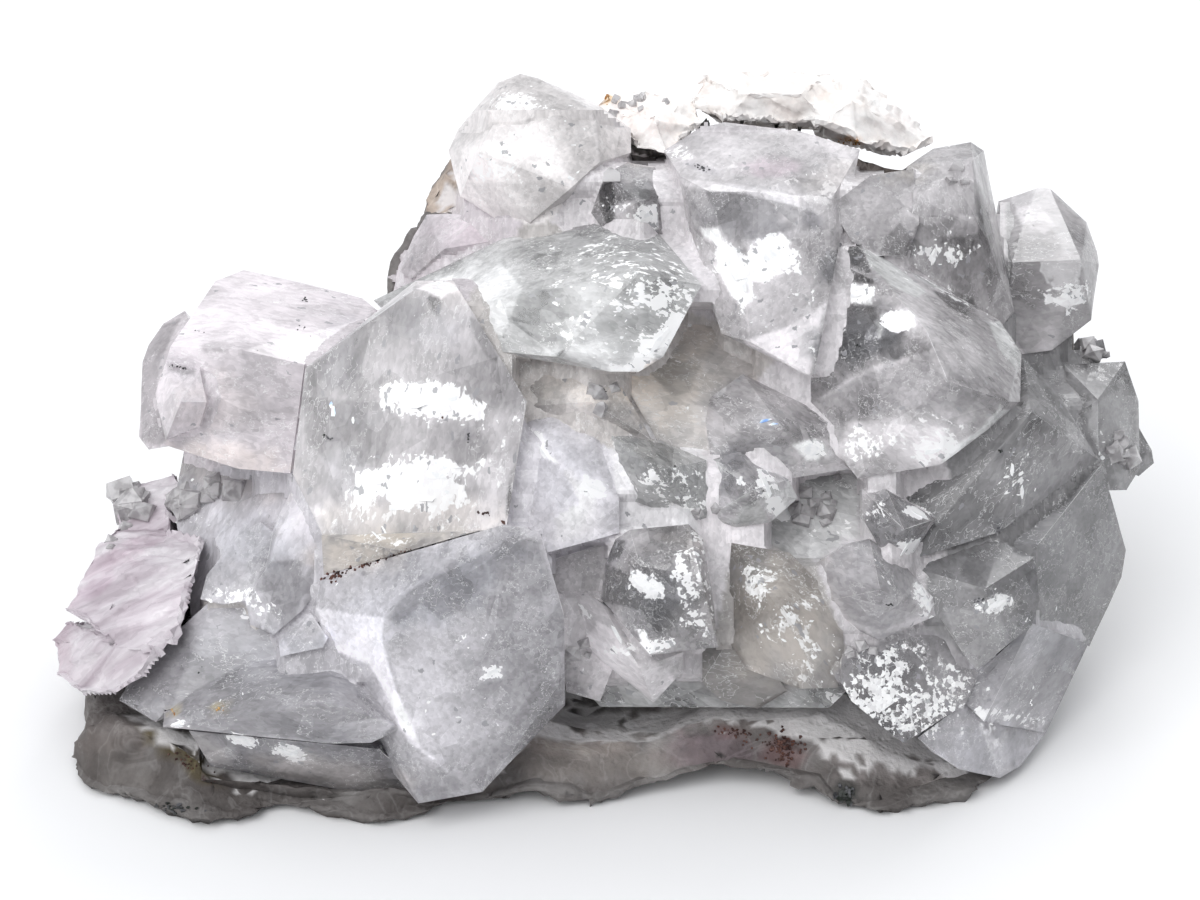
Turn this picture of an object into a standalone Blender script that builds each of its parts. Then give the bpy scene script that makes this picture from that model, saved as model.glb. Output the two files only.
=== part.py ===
"""Apophyllite specimen: clear and milky crystals grown together over a lump of grey matrix.

The crystals cover one side of the lump, the druse face, which leans back from upright by DRUSE_LEAN.
They are laid out in that face: (across, up, out) in millimetres, where across is +X, up runs up the slope
and out points away from the rock. Each crystal is the convex hull of its free corners and of a root, which
is the same outline drawn in towards its middle at the depth ROOT. The object frame has +Z up, with its
origin at the middle of the resting plane.
"""

import math
from itertools import product

import bmesh
import bpy
from mathutils import Matrix, Vector, noise

MM = 0.001
SPECIMEN = "apophyllite"

# Driving dimensions, in millimetres and radians.
DRUSE_LEAN = math.radians(28)
DRUSE_HEIGHT = 28.0  # height above the resting plane of the point (0, 0, 0) of the druse face
GAP = 0.3  # clear space between neighbouring pieces
BACK_DEPTH = 46.0  # the broken back of the matrix lies this far behind the origin
ROOT_FLOOR = 4.5  # no root comes closer than this to the resting plane
ROCK_GRAIN = 2.6  # edge length of the matrix's facets before they are thinned
ROCK_KEPT = 0.36  # share of the matrix's facets that is kept
ROCK_ROUGHNESS = 1.3  # depth of the matrix's bumps
BUMP_SIZE = 11.0  # spacing of the matrix's bumps

# Crystals grown together into one piece: name: (root depth, root taper, free corners).
CRYSTALS = {
    # The left shoulder: pale blocks with a slab behind them.
    "left_block": (-20, 0.75, [
        (-45.5, 11, 6), (-37.5, 10.5, 9), (-31, 9, 8), (-43, 19, -8), (-40.5, 20.5, -12), (-33.5, 19, -12),
        (-26.5, 17, -8), (-24, 15, -4), (-47.5, 6, 4), (-46.5, 0.5, 4), (-38, -2, 8), (-32.5, -2.5, 8)]),
    "left_nub": (-2, 0.9, [
        (-46, 8.5, 7), (-42, 8.5, 8), (-41, 5, 9.5), (-42, 2.5, 8), (-46, 1, 6), (-47, 5.5, 6), (-43.5, 5, 11)]),
    "left_slab": (-22, 0.9, [
        (-47.5, 16, -14), (-50, 14.5, -14), (-51.5, 12, -13), (-52, 10, -12), (-52, 1.5, -10), (-50.5, 0, -8),
        (-47, 0.5, -6), (-45, 12.5, -8)]),
    # The two large crystals at the front.
    "tall_clear": (-12, 0.75, [
        (-19.5, 16.5, 11), (-14.5, 16.5, 11), (-7.5, 5, 13), (-9.5, -8, 16), (-19, -10, 17), (-28, -9, 16),
        (-31.5, -2.5, 14), (-30.5, 8.5, 12), (-19.5, 18, 6), (-15.5, 18, 6)]),
    "front_point": (-8, 0.7, [
        (-5.8, -7.8, 28), (-20.8, -16.7, 24), (-14, -34, 13), (-4.1, -23.6, 18.5), (-29, -16.5, 16),
        (-28.5, -13, 15), (-9.3, -7.2, 25.5), (-18.5, -36, 15.5), (-24, -31, 9), (-12, -35, 14.5), (-3.5, -26, 15),
        (-3.5, -16.5, 22)]),
    # Low points and grains at the lower left.
    "left_point": (-8, 0.8, [
        (-45, -28.5, 13), (-45.5, -26.5, 9), (-39, -21, 9), (-33, -20.5, 10), (-28, -20.5, 12), (-23, -22.5, 14),
        (-20, -28, 18), (-23, -29.5, 18), (-27, -29.5, 19), (-26.5, -25, 22)]),
    "left_underside": (-8, 0.8, [
        (-42.5, -29, 12), (-27.5, -30, 15), (-22.5, -30.5, 15), (-18.5, -35.5, 10), (-22, -36.5, 9),
        (-31, -33.5, 11), (-37, -31.5, 12), (-40.5, -33, 10)]),
    "blue_upper": (-14, 0.8, [
        (-38.5, -5.5, 3), (-33, -3, 3), (-29, -3, 6), (-29, -11.5, 9), (-34.5, -11.5, 10), (-39.5, -11.5, 8),
        (-41, -9.5, 5)]),
    "blue_left": (-8, 0.8, [
        (-35.5, -7.5, 9), (-37.5, -8.5, 9), (-41, -13, 10), (-41.5, -15.5, 11), (-39, -16, 12), (-36.5, -15.5, 13),
        (-34, -11.5, 13), (-34, -8.5, 10)]),
    "blue_right": (-8, 0.8, [
        (-32, -3, 6), (-29, -3, 7), (-28.5, -9.5, 12), (-29, -14.5, 13), (-30.5, -16.5, 14), (-33.5, -19, 14),
        (-36, -18, 13), (-36.5, -15.5, 13), (-33.5, -11, 14), (-33.5, -6.5, 9)]),
    "left_shoulder": (-8, 0.8, [
        (-51, -26.5, 6), (-49, -23, 6), (-43, -18, 8), (-40, -15, 9), (-34, -17.5, 11), (-30, -16.5, 12),
        (-27.5, -19.5, 13), (-30, -22, 13), (-38, -22, 11.5), (-45, -27, 11), (-46.5, -28.5, 9)]),
    "beige_wedge": (-8, 0.8, [
        (-28.3, -8.6, 16.3), (-20, -9.6, 17.8), (-10.5, -8, 18.5), (-28.2, -12.8, 15.2), (-19.5, -10.2, 20),
        (-12, -8, 23)]),
    "smoky_wedge": (-4, 0.8, [
        (-29.5, -16.5, 15), (-27.5, -19, 17), (-28, -20, 17), (-32.5, -21, 16), (-33, -19.5, 14)]),
    # The crest: a rounded milky crystal, a small white one beside it, and the long crystals right of them.
    "crest_milky": (-22, 0.7, [
        (-17, 33.5, -8), (-16, 36, -9), (-13.5, 39, -9), (-11.5, 41.5, -10), (-9, 42.5, -10), (-7, 42, -10),
        (-0.5, 39, -9), (3.5, 36, -8), (3.5, 33, -6), (-1, 27.5, -3), (-7.5, 23, -2), (-11, 25, -3),
        (-15.5, 28, -5), (-13, 32, 3), (-10.5, 37.5, 0), (-4.5, 36, 2), (-0.5, 36.5, 0), (0, 31, 2), (-3, 28, 4),
        (-7.5, 24.5, 2)]),
    "crest_small_white": (-20, 0.8, [
        (-22.5, 20, -8), (-21, 24, -9), (-19.5, 26.5, -9), (-17, 26.5, -8), (-13.5, 26, -6), (-12, 23, -4),
        (-14.5, 20.5, -4), (-21, 19, -6), (-17, 22, -2)]),
    "crest_pink_slab": (-20, 0.9, [
        (-23.5, 18, -12), (-23, 21, -13), (-21, 24.5, -13), (-20, 24.5, -12), (-21, 19, -9)]),
    "long_lying": (-14, 0.75, [
        (10.5, 17, 13), (4, 18, 16), (0, 24.5, 2), (6, 23.5, 4), (-10.5, 23, 0), (-25, 16.5, -4), (-4.5, 9.5, 14),
        (1, 8, 13), (4, 8, 13), (6.5, 9.5, 14), (-13.5, 10.5, 10), (-21.5, 13, 0), (-10.5, 15.5, 11)]),
    "small_gem": (-16, 0.8, [
        (0.5, 29.5, 4), (-1, 25.5, 2), (0, 24, 3), (4.5, 22.5, 5), (7, 22.5, 4), (7.5, 27.5, 2), (6, 31, -2),
        (3, 31.5, -2), (4, 26, 9)]),
    "long_upright": (-14, 0.7, [
        (7, 33, -4), (11, 36, -8), (14, 37, -10), (22.5, 36, -10), (29, 33.5, -7), (24.5, 26.5, 6), (16.5, 27, 9),
        (8.5, 29, 6), (24.5, 19.5, 11), (22, 7.5, 13), (20.5, 8, 13), (15.5, 11, 14), (12.5, 12, 12),
        (10.5, 19, 8), (9.5, 23, 6), (15, 15.5, 14), (11.5, 27, 9)]),
    # The right side.
    "right_clear": (-12, 0.7, [
        (25, 21.5, 6), (27, 21.5, 8), (33, 12.5, 16), (36, 10, 16), (42, 5, 13), (32, 20, 4), (37.5, 17, 3),
        (43, 14, 2), (45, 10.5, 4), (44, 5, 9), (40, 2, 12), (35, -1.5, 14), (26.5, -3, 13), (24, 0.5, 11),
        (21, 5, 8), (22, 8, 9), (24.5, 20, 8), (35, 7, 18), (30, 16.5, 13)]),
    "right_crest_block": (-16, 0.8, [
        (24.5, 26, 5), (29, 29.5, 2), (31, 30, 1), (34, 30.5, 0), (34, 24, 5), (32.5, 20.5, 6), (29, 20.5, 7),
        (26.5, 22, 7)]),
    "right_crest_blade": (-20, 0.75, [
        (33.5, 31, -2), (37, 33.5, -6), (41.5, 34.5, -8), (43, 33.5, -8), (43.5, 28.5, -6), (44, 21, -3),
        (45, 15, 0), (43.5, 13.5, 1), (36.5, 17.5, 3), (32.5, 20, 5), (33.5, 26.5, 4), (40.5, 31.5, 0),
        (40, 25, 4), (41.5, 22.5, 3)]),
    "right_shoulder": (-24, 0.75, [
        (45.5, 28.5, -14), (50, 30, -14), (51.5, 30, -14), (55.5, 26, -13), (56.5, 22.5, -12), (56.5, 21, -11),
        (55, 14.5, -8), (50, 11, -5), (46.5, 10.5, -4), (44.5, 13.5, -3), (45, 20.5, -2), (53, 21, -4)]),
    "right_edge": (-20, 0.8, [
        (51.5, 9.5, -6), (59, 10, -9), (60.5, 5.5, -9), (60.5, -2, -8), (58.5, -4.5, -6), (56, -4.5, -4),
        (54.5, -0.5, -2), (51.5, 3.5, -1), (54, 5.5, 0)]),
    "right_edge_chip": (-16, 0.8, [
        (60.5, 3.5, -11), (62.5, 0, -11), (62.5, -1.5, -10), (60.5, -3, -9), (58, -2, -8), (59, 2, -8)]),
    "right_edge_cube": (-16, 0.9, [
        (54.5, 12, -8), (56.5, 12.5, -9), (57, 10.5, -9), (54.5, 9.5, -7)]),
    "right_plate": (-14, 0.7, [
        (45.5, 10, 2), (49.5, 5.5, 3), (53, -1, 5), (41.5, -8.5, 11), (38, -9, 11), (31.5, -11.5, 13),
        (28.5, -5, 9), (27.5, -3, 8), (45, 4, 10)]),
    "right_flank": (-18, 0.75, [
        (54, -1.5, 2), (57, -8.5, -3), (58, -11, -4), (57.5, -14, -4), (55, -18, -3), (53.5, -21.5, -2),
        (45.5, -18.5, 8), (41.5, -15.5, 10), (40.5, -9, 9), (45.5, -10, 10)]),
    "right_down_point": (-8, 0.75, [
        (32, -12, 12), (37.5, -9.5, 10), (41.5, -9.5, 11), (45, -11, 12), (45.5, -15.5, 12), (44.5, -18, 13),
        (38.5, -22.5, 15), (37.5, -21.5, 15), (35, -17.5, 14), (34, -14.5, 14), (39, -14, 17)]),
    "right_low_block": (-6, 0.7, [
        (21, -13, 10), (22.5, -11.5, 12), (25.5, -9.5, 14), (27.5, -9, 15), (30.5, -11, 15), (34, -15, 15),
        (34.5, -17, 14), (28.5, -19.5, 15), (26.5, -18.5, 15), (23, -15.5, 14), (28, -14, 20)]),
    "right_gem": (-4, 0.7, [
        (27, -4, 12), (29.5, -4, 13), (34.5, -7, 14), (32.5, -10, 14), (31.5, -11.5, 14), (28.5, -10, 15),
        (27, -7, 13), (30.5, -8, 19)]),
    "right_glittering": (-6, 0.8, [
        (25, -19.5, 13), (26, -18.5, 12), (31, -18.5, 13), (35, -19, 13), (39, -23, 13), (37.5, -26, 14),
        (31, -30, 15), (28.5, -28, 16), (25.5, -25.5, 16), (24.5, -23.5, 15)]),
    "right_low_slab": (-12, 0.75, [
        (39, -23, 12), (45, -18, 10), (53, -21, 0), (50.5, -25, -2), (50, -27, -1), (48, -30.5, 2),
        (39.5, -28, 13), (37.5, -26, 13)]),
    "right_low_corner": (-8, 0.8, [
        (37.5, -26, 13), (48, -30.5, 2), (44.5, -33.5, 6), (42, -34.5, 8), (37, -33, 12), (34, -31, 13),
        (32.5, -29.5, 14)]),
    # The middle, between the large crystals.
    "mid_clear": (-6, 0.7, [
        (1.5, -9, 17), (3, -8, 17), (9, -7.5, 16), (10.5, -9, 16), (11.5, -15, 17), (12, -20, 17), (10, -20, 18),
        (5, -20.5, 20), (0, -15, 17), (0.5, -11.5, 17), (4, -11.5, 22), (10, -12.5, 21)]),
    "mid_left": (-8, 0.75, [
        (-9, 1, 10), (-7.5, 3, 10), (-4.5, 4, 9), (0, 1, 11), (2, -5, 14), (2, -8.5, 15), (-5.5, -10.5, 16),
        (-7, -7.5, 13), (-9.5, -7.5, 12), (-3.5, -0.5, 15)]),
    "mid_right": (-8, 0.75, [
        (0, 2.5, 9), (6.5, 1, 10), (11, -1, 12), (11.5, -4, 13), (11, -7, 13), (9.5, -7.5, 13), (4, -5.5, 13),
        (2.5, -5, 12), (1, -1, 11), (6, -2, 17)]),
    "mid_far_right": (-8, 0.75, [
        (11.5, -1, 11), (14.5, 0, 11), (19.5, -3, 12), (20.5, -5, 12), (17.5, -7.5, 13), (14, -8, 13),
        (11, -7, 12), (11, -4, 12), (15.5, -4, 17)]),
    "mid_down_point": (-8, 0.75, [
        (-3, -15.5, 13), (-1.5, -14.5, 14), (0, -15.5, 15), (5, -20.5, 17), (8.5, -20.5, 16), (8.5, -22.5, 15),
        (5.5, -26, 14), (0, -21.5, 14), (-2, -19.5, 13), (4, -22, 18)]),
    "mid_sandy": (-8, 0.75, [
        (13.5, -9.5, 13), (19.5, -10.5, 13), (24.5, -15.5, 14), (25, -19.5, 14), (24.5, -24.5, 13),
        (20.5, -24.5, 14), (15, -22.5, 14), (13, -19.5, 14), (13, -14.5, 13), (18, -16, 18)]),
    "mid_blades": (-6, 0.8, [
        (10.5, -20.5, 12), (13, -20, 13), (17.5, -22.5, 12), (19.5, -25, 11), (16.5, -27, 10), (12.5, -26, 11),
        (10.5, -24, 12)]),
    "hollow_right": (-14, 0.8, [
        (2, 8, 7), (7, 10.5, 6), (11.5, 17, 2), (15.5, 11.5, 5), (22, 7, 7), (16.5, 2, 9), (11, -1, 9), (6, 1, 8)]),
    "hollow_grey": (-12, 0.8, [
        (11.5, 5.5, 8), (15, 8, 8), (21, 5, 9), (25, 3, 10), (26, -2, 11), (19.5, -3, 11), (16.5, 0, 11),
        (11.5, -1, 10), (11, 3, 9), (18.5, 2.5, 14)]),
    "hollow_left": (-12, 0.8, [
        (-8.5, 9.5, 6), (-4, 10.5, 8), (0, 8, 9), (1.5, 8, 9), (4, 3, 10), (5.5, 1, 10), (-4, 3.5, 10),
        (-8.5, 4.5, 9), (-9.5, 7.5, 7), (-1, 5, 12)]),
    "hollow_low": (-8, 0.8, [
        (-5.5, -11.5, 12), (2.5, -9, 12), (4, -15.5, 13), (0, -26, 12), (-3.5, -25, 12), (-4.5, -17.5, 13)]),
    # The massive layer that the crystals rise from and that joins them.
    "bed_left": (-18, 0.92, [
        (-40, 15, -8), (-20, 15, -6), (-9, 3, 3), (-10, -9, 6), (-30, -16, 6), (-38, -20, 6), (-44, -18, 2),
        (-47, -6, -4), (-45, 8, -8)]),
    "bed_middle": (-14, 0.92, [
        (-7, 17, -3), (22, 20, -4), (30, 12, 2), (31, -3, 7), (31, -20, 9), (24, -27, 9), (0, -27, 8),
        (-6, -20, 8), (-8, 2, 3)]),
    "bed_right": (-18, 0.92, [
        (28, 20, -5), (43, 14, -7), (54, 6, -9), (56, 0, -9), (54, -10, -7), (50, -18, -5), (45, -27, 1),
        (36, -29, 9), (30, -20, 9), (27, -3, 6)]),
    "bed_crest": (-24, 0.92, [
        (-14, 29, -12), (-3, 33, -13), (12, 33, -13), (29, 30, -13), (40, 29, -15), (50, 22, -18),
        (50, 14, -14), (32, 12, -4), (0, 15, -4), (-17, 17, -8)]),
    "bed_front": (-2, 0.92, [
        (-38, -23, 6), (-20, -20, 10), (-4, -19, 11), (-4, -26, 10), (-12, -32, 8), (-21, -33, 5), (-33, -32, 6),
        (-42, -28, 5)]),
}

# A separate mass of lilac-white, finely striped cleavage lumps at the far left.
LILAC_LUMPS = {
    "upper": (-12, 0.8, [
        (-55, -9.5, -2), (-53.5, -8, -5), (-46.5, -7.5, -5), (-42.5, -8, -2), (-42.5, -11.5, 5), (-43, -15.5, 9),
        (-44, -20.5, 12), (-51.5, -20, 8), (-58, -17.5, 2), (-58, -16, 0), (-54, -12, 0)]),
    "lower": (-10, 0.8, [
        (-60, -20.5, 0), (-58.5, -18, -1), (-51.5, -20, 8), (-45, -20.5, 12), (-47.5, -24, 11), (-51, -26, 9),
        (-55.5, -26.5, 5), (-59, -25, 1)]),
    "rough_chunks": (-14, 0.8, [
        (-54.5, -4.5, -7), (-53.5, -3.5, -9), (-51, -4, -9), (-47.5, -2, -9), (-46, -6.5, -4), (-47, -8.5, -3),
        (-53.5, -8.5, -5)]),
}

# The cream and pink crust of small crystals on the crest, behind the long crystals.
CREAM_LUMPS = {
    "left": (-24, 0.85, [
        (-2, 39, -15), (0.5, 41.5, -16), (4.6, 42.3, -17), (7.5, 41.5, -17), (11.5, 41.3, -17), (12, 37, -13),
        (8, 33, -10), (4, 34, -11), (6, 38, -10)]),
    "middle": (-26, 0.85, [
        (10.5, 40, -17), (11.5, 44, -19), (14, 45, -20), (23, 45, -21), (27, 44.5, -20), (27, 37, -14),
        (14, 37.5, -14), (17, 41, -13), (23, 41, -13)]),
    "right": (-25, 0.85, [
        (22, 44.5, -20), (27, 45, -20), (31.5, 44, -20), (35, 41, -19), (37.8, 38, -18), (39.3, 35.5, -17),
        (35.5, 33.5, -14), (29, 35, -12), (24, 37, -13), (29, 40.5, -13)]),
}

# Outline of the matrix as seen square to the druse face, from the lower left corner upwards: (across, up, out).
MATRIX_RIM = [
    (-53, -52, 6), (-55, -36, 6), (-57.5, -27, 2), (-54, -16, -4), (-48, -8, -8), (-46, 0, -10), (-44, 8, -14),
    (-38, 13, -16), (-28, 14.5, -14), (-25, 17, -14), (-24, 21, -14), (-22, 26, -14), (-21, 31, -14),
    (-18.5, 35, -15), (-14, 38.5, -16), (-7, 39.5, -17), (4, 39.5, -18), (12, 41.5, -21), (26, 42.5, -22),
    (33, 40, -21), (38, 35.5, -20), (47, 27, -20), (54, 22, -18), (56.5, 13, -16), (57, 4, -15),
    (55, -8, -10), (51, -18, -6), (47, -27, -2), (43, -35, 6), (41, -52, 6),
]
MATRIX_LENGTH = 90.0  # from the rim back along the druse normal, before the back and the base are cut
# Lumps along the foot of the matrix, which carry the edge that it rests on forwards.
FOOT_SINK = 6.0  # how far the lumps run below the resting plane, where the base is cut
MATRIX_FEET = [
    [(-54.5, -37, 8.5), (-49, -37, 10), (-45, -38, 12), (-41, -39.2, 14.8), (-37, -39, 14.2), (-34.5, -38, 11.5),
     (-57.5, -28, 5), (-45, -28, 8), (-34, -30, 9), (-54, -27, -10), (-34, -30, -10)],
    [(-34.5, -38, 11.5), (-28, -38.5, 13.5), (-21.5, -39, 14.8), (-17.5, -38, 12.6), (-14.5, -37, 9),
     (-34, -30, 9), (-14, -30, 8), (-34, -30, -10), (-14, -30, -10)],
    [(-16, -37, 11), (-8.5, -37, 11), (0, -37, 11.5), (4.5, -37.5, 12), (8.5, -36.5, 10), (11.7, -36, 9),
     (-15, -28, 8), (12, -28, 8), (-15, -30, -10), (12, -30, -10)],
    [(8, -36, 9), (11.7, -36, 9), (20, -36.5, 9.5), (24.5, -37, 10.5), (10, -27, 7), (25, -26, 8),
     (10, -30, -10), (25, -30, -10)],
    [(23, -36, 8.5), (26, -37.5, 11.8), (29.5, -38, 13.2), (35, -37.5, 12), (39.8, -37, 10.2), (42.3, -36, 8),
     (24, -29, 8), (41, -31, 7), (24, -30, -10), (41, -30, -10)],
]
# Planes that trim the matrix: (point, outward normal), in millimetres of the object frame.
MATRIX_TRIMS = [
    ((0, BACK_DEPTH, 0), (0.05, 1, 0.12)),
    ((-48, 34, 20), (-0.75, 0.7, 0.1)),
    ((52, 34, 20), (0.8, 0.62, 0.15)),
    ((0, 46, 46), (0.05, 0.8, 0.6)),
]
# Hollows under the matrix, which leave it standing on feet: (centre, radii) in millimetres of the object frame.
HOLLOWS = {
    "front": ((12, -28, -5.2), (16, 14, 8)),
    "front_small": ((-7, -28, -4.4), (9, 10, 5.4)),
    "right": ((60, 0, -4), (20, 12, 9)),
    "back": ((-6, 50, -6), (17, 16, 12)),
    "left": ((-64, 2, -4), (18, 9, 9)),
    "middle": ((2, 8, -14), (34, 18, 16.5)),
}


def druse_point(across, up, out):
    """A place on the druse face, in metres of the object frame."""
    lean, rise = math.sin(DRUSE_LEAN), math.cos(DRUSE_LEAN)
    return Vector((across, up * lean - out * rise, DRUSE_HEIGHT + up * rise + out * lean)) * MM


def clear_scene():
    for old in list(bpy.data.objects):
        bpy.data.objects.remove(old, do_unlink=True)


def new_collection(name, shown):
    collection = bpy.data.collections.new(name)
    collection.hide_render = not shown
    bpy.context.scene.collection.children.link(collection)
    return collection


def new_object(name, bm, collection):
    """An object from a bmesh, which it uses up; the faces end up flat and facing outwards."""
    bmesh.ops.recalc_face_normals(bm, faces=bm.faces)
    mesh = bpy.data.meshes.new(name)
    bm.to_mesh(mesh)
    bm.free()
    made = bpy.data.objects.new(name, mesh)
    collection.objects.link(made)
    return made


def new_cutter(name, bm, collection):
    made = new_object(name, bm, collection)
    made.hide_render = True
    made.display_type = "WIRE"
    return made


def hull_mesh(points, grow=0.0):
    """The convex hull of some points, with every corner first spread to a small box when it has to grow."""
    bm = bmesh.new()
    spread = (-grow * MM, grow * MM) if grow else (0.0,)
    for point in points:
        for offset in product(spread, repeat=3):
            bm.verts.new(point + Vector(offset))
    hull = bmesh.ops.convex_hull(bm, input=bm.verts)
    inside = [item for item in hull["geom_interior"] if isinstance(item, bmesh.types.BMVert)]
    bmesh.ops.delete(bm, geom=inside, context="VERTS")
    bmesh.ops.dissolve_limit(bm, angle_limit=math.radians(1), verts=bm.verts, edges=bm.edges)
    bmesh.ops.triangulate(bm, faces=bm.faces)
    return bm


def crystal_points(root_depth, taper, corners):
    """A crystal's free corners, and the same outline drawn in towards its middle at the root."""
    middle_across = sum(corner[0] for corner in corners) / len(corners)
    middle_up = sum(corner[1] for corner in corners) / len(corners)
    points = [druse_point(*corner) for corner in corners]
    for across, up, _ in corners:
        root_across = middle_across + taper * (across - middle_across)
        root_up = middle_up + taper * (up - middle_up)
        root = druse_point(root_across, root_up, root_depth)
        root.z = max(root.z, ROOT_FLOOR * MM)
        points.append(root)
    return points


def apply_modifiers(target):
    """Replaces an object's mesh by what its modifiers make of it."""
    graph = bpy.context.evaluated_depsgraph_get()
    graph.update()
    made = bpy.data.meshes.new_from_object(target.evaluated_get(graph))
    target.modifiers.clear()
    target.data = made


def combine(target, cutters, operation):
    """Joins a collection of solids to an object, or cuts them out of it."""
    boolean = target.modifiers.new(operation.lower(), "BOOLEAN")
    boolean.operation = operation
    boolean.operand_type = "COLLECTION"
    boolean.collection = cutters
    boolean.solver = "EXACT"
    apply_modifiers(target)


def islands(bm):
    """The faces of each separate closed surface in a mesh."""
    left = set(bm.faces)
    while left:
        front = [left.pop()]
        island = list(front)
        while front:
            near = {other for edge in front.pop().edges for other in edge.link_faces} & left
            left -= near
            front.extend(near)
            island.extend(near)
        yield island


def signed_volume(faces):
    corners = [[vertex.co for vertex in face.verts] for face in faces]
    return sum(a.dot(b.cross(c)) for a, b, c in corners) / 6


def keep_main_body(target):
    """Drops the sealed pockets between crystals, and any crumb that a cut has left loose."""
    bm = bmesh.new()
    bm.from_mesh(target.data)
    bmesh.ops.triangulate(bm, faces=bm.faces)
    bodies = sorted(islands(bm), key=signed_volume)
    for body in bodies[:-1]:
        print(f"{target.name}: drops {signed_volume(body) / MM**3:.3f} mm3, {len(body)} faces")
        bmesh.ops.delete(bm, geom=body, context="FACES")
    bm.to_mesh(target.data)
    bm.free()


def grown_cluster(name, group, shown):
    """One solid from a group of crystals that have grown into each other."""
    helpers = new_collection(name + "_crystals", shown=False)
    bodies = [(label, crystal_points(*record)) for label, record in group.items()]
    for label, points in bodies[1:]:
        new_cutter(label, hull_mesh(points), helpers)
    cluster = new_object(name, hull_mesh(bodies[0][1]), shown)
    combine(cluster, helpers, "UNION")
    return cluster


def clearance(name, groups):
    """The crystals of some groups, each grown by the gap that a neighbour keeps to it."""
    helpers = new_collection(name, shown=False)
    for group in groups:
        for label, record in group.items():
            new_cutter(label + "_clearance", hull_mesh(crystal_points(*record), grow=GAP), helpers)
    return helpers


def trim(bm, point, normal):
    """Cuts away what lies beyond a plane and closes the cut."""
    cut = bmesh.ops.bisect_plane(
        bm,
        geom=bm.verts[:] + bm.edges[:] + bm.faces[:],
        dist=1e-7,
        plane_co=Vector(point) * MM,
        plane_no=Vector(normal),
        clear_outer=True,
    )
    rim = [item for item in cut["geom_cut"] if isinstance(item, bmesh.types.BMEdge)]
    bmesh.ops.edgenet_fill(bm, edges=rim)


def roughen(vertices):
    """Pushes each point in or out by two sizes of noise, so that the rock looks broken and not moulded."""
    for vertex in vertices:
        place = vertex.co / (BUMP_SIZE * MM)
        lumps = noise.noise(place) + 0.55 * noise.noise(place * 2.7 + Vector((5, 1, 3)))
        vertex.co += vertex.normal * (lumps * ROCK_ROUGHNESS * MM)


def rough_rock(name, collection):
    """The matrix: its outline drawn back along the druse normal, trimmed, remeshed, roughened and based."""
    bm = bmesh.new()
    rim = [bm.verts.new(druse_point(*corner)) for corner in MATRIX_RIM]
    face = bm.faces.new(rim)
    back = bmesh.ops.extrude_face_region(bm, geom=[face])
    moved = [item for item in back["geom"] if isinstance(item, bmesh.types.BMVert)]
    into_rock = druse_point(0, 0, -MATRIX_LENGTH) - druse_point(0, 0, 0)
    bmesh.ops.translate(bm, verts=moved, vec=into_rock)
    bmesh.ops.triangulate(bm, faces=bm.faces)
    for point, normal in MATRIX_TRIMS:
        trim(bm, point, normal)
    trim(bm, (0, 0, -FOOT_SINK), (0, 0, -1))
    rock = new_object(name, bm, collection)
    helpers = new_collection("feet", shown=False)
    for number, corners in enumerate(MATRIX_FEET):
        points = [druse_point(*corner) for corner in corners]
        points += [point - Vector((0, 0, FOOT_SINK * MM)) for point in points]
        new_cutter(f"foot_{number}", hull_mesh(points), helpers)
    combine(rock, helpers, "UNION")

    remesh = rock.modifiers.new("grain", "REMESH")
    remesh.mode = "VOXEL"
    remesh.voxel_size = ROCK_GRAIN * MM
    smooth = rock.modifiers.new("wear", "SMOOTH")
    smooth.iterations = 3
    apply_modifiers(rock)
    roughen(rock.data.vertices)
    thin = rock.modifiers.new("thin", "DECIMATE")
    thin.ratio = ROCK_KEPT
    apply_modifiers(rock)

    bm = bmesh.new()
    bm.from_mesh(rock.data)
    trim(bm, (0, 0, 0), (0, 0, -1))
    bmesh.ops.triangulate(bm, faces=bm.faces)
    bm.to_mesh(rock.data)
    bm.free()
    return rock


def cut_hollows(rock):
    helpers = new_collection("hollows", shown=False)
    for label, (centre, radii) in HOLLOWS.items():
        bm = bmesh.new()
        bmesh.ops.create_icosphere(bm, subdivisions=3, radius=1)
        bmesh.ops.scale(bm, vec=Vector(radii) * MM, verts=bm.verts)
        bmesh.ops.translate(bm, vec=Vector(centre) * MM, verts=bm.verts)
        bm.normal_update()
        roughen(bm.verts)
        new_cutter(label, bm, helpers)
    combine(rock, helpers, "DIFFERENCE")


def centre_on_origin(pieces):
    """Moves the whole object sideways, so that the origin is at the middle of the plane it rests on."""
    corners = [vertex.co for piece in pieces for vertex in piece.data.vertices]
    across = [corner.x for corner in corners]
    deep = [corner.y for corner in corners]
    shift = Vector((-(min(across) + max(across)) / 2, -(min(deep) + max(deep)) / 2, 0))
    for piece in pieces:
        piece.data.transform(Matrix.Translation(shift))
    print("moved sideways by", [round(value / MM, 3) for value in shift.xy])


def finish(target, colour, roughness, transmission=0.0):
    """Gives a piece its own plain material."""
    material = bpy.data.materials.new(target.name)
    material.use_nodes = True
    shader = material.node_tree.nodes["Principled BSDF"]
    shader.inputs["Base Color"].default_value = (*colour, 1)
    shader.inputs["Roughness"].default_value = roughness
    shader.inputs["Metallic"].default_value = 0.0
    shader.inputs["Transmission Weight"].default_value = transmission
    target.data.materials.clear()
    target.data.materials.append(material)


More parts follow.
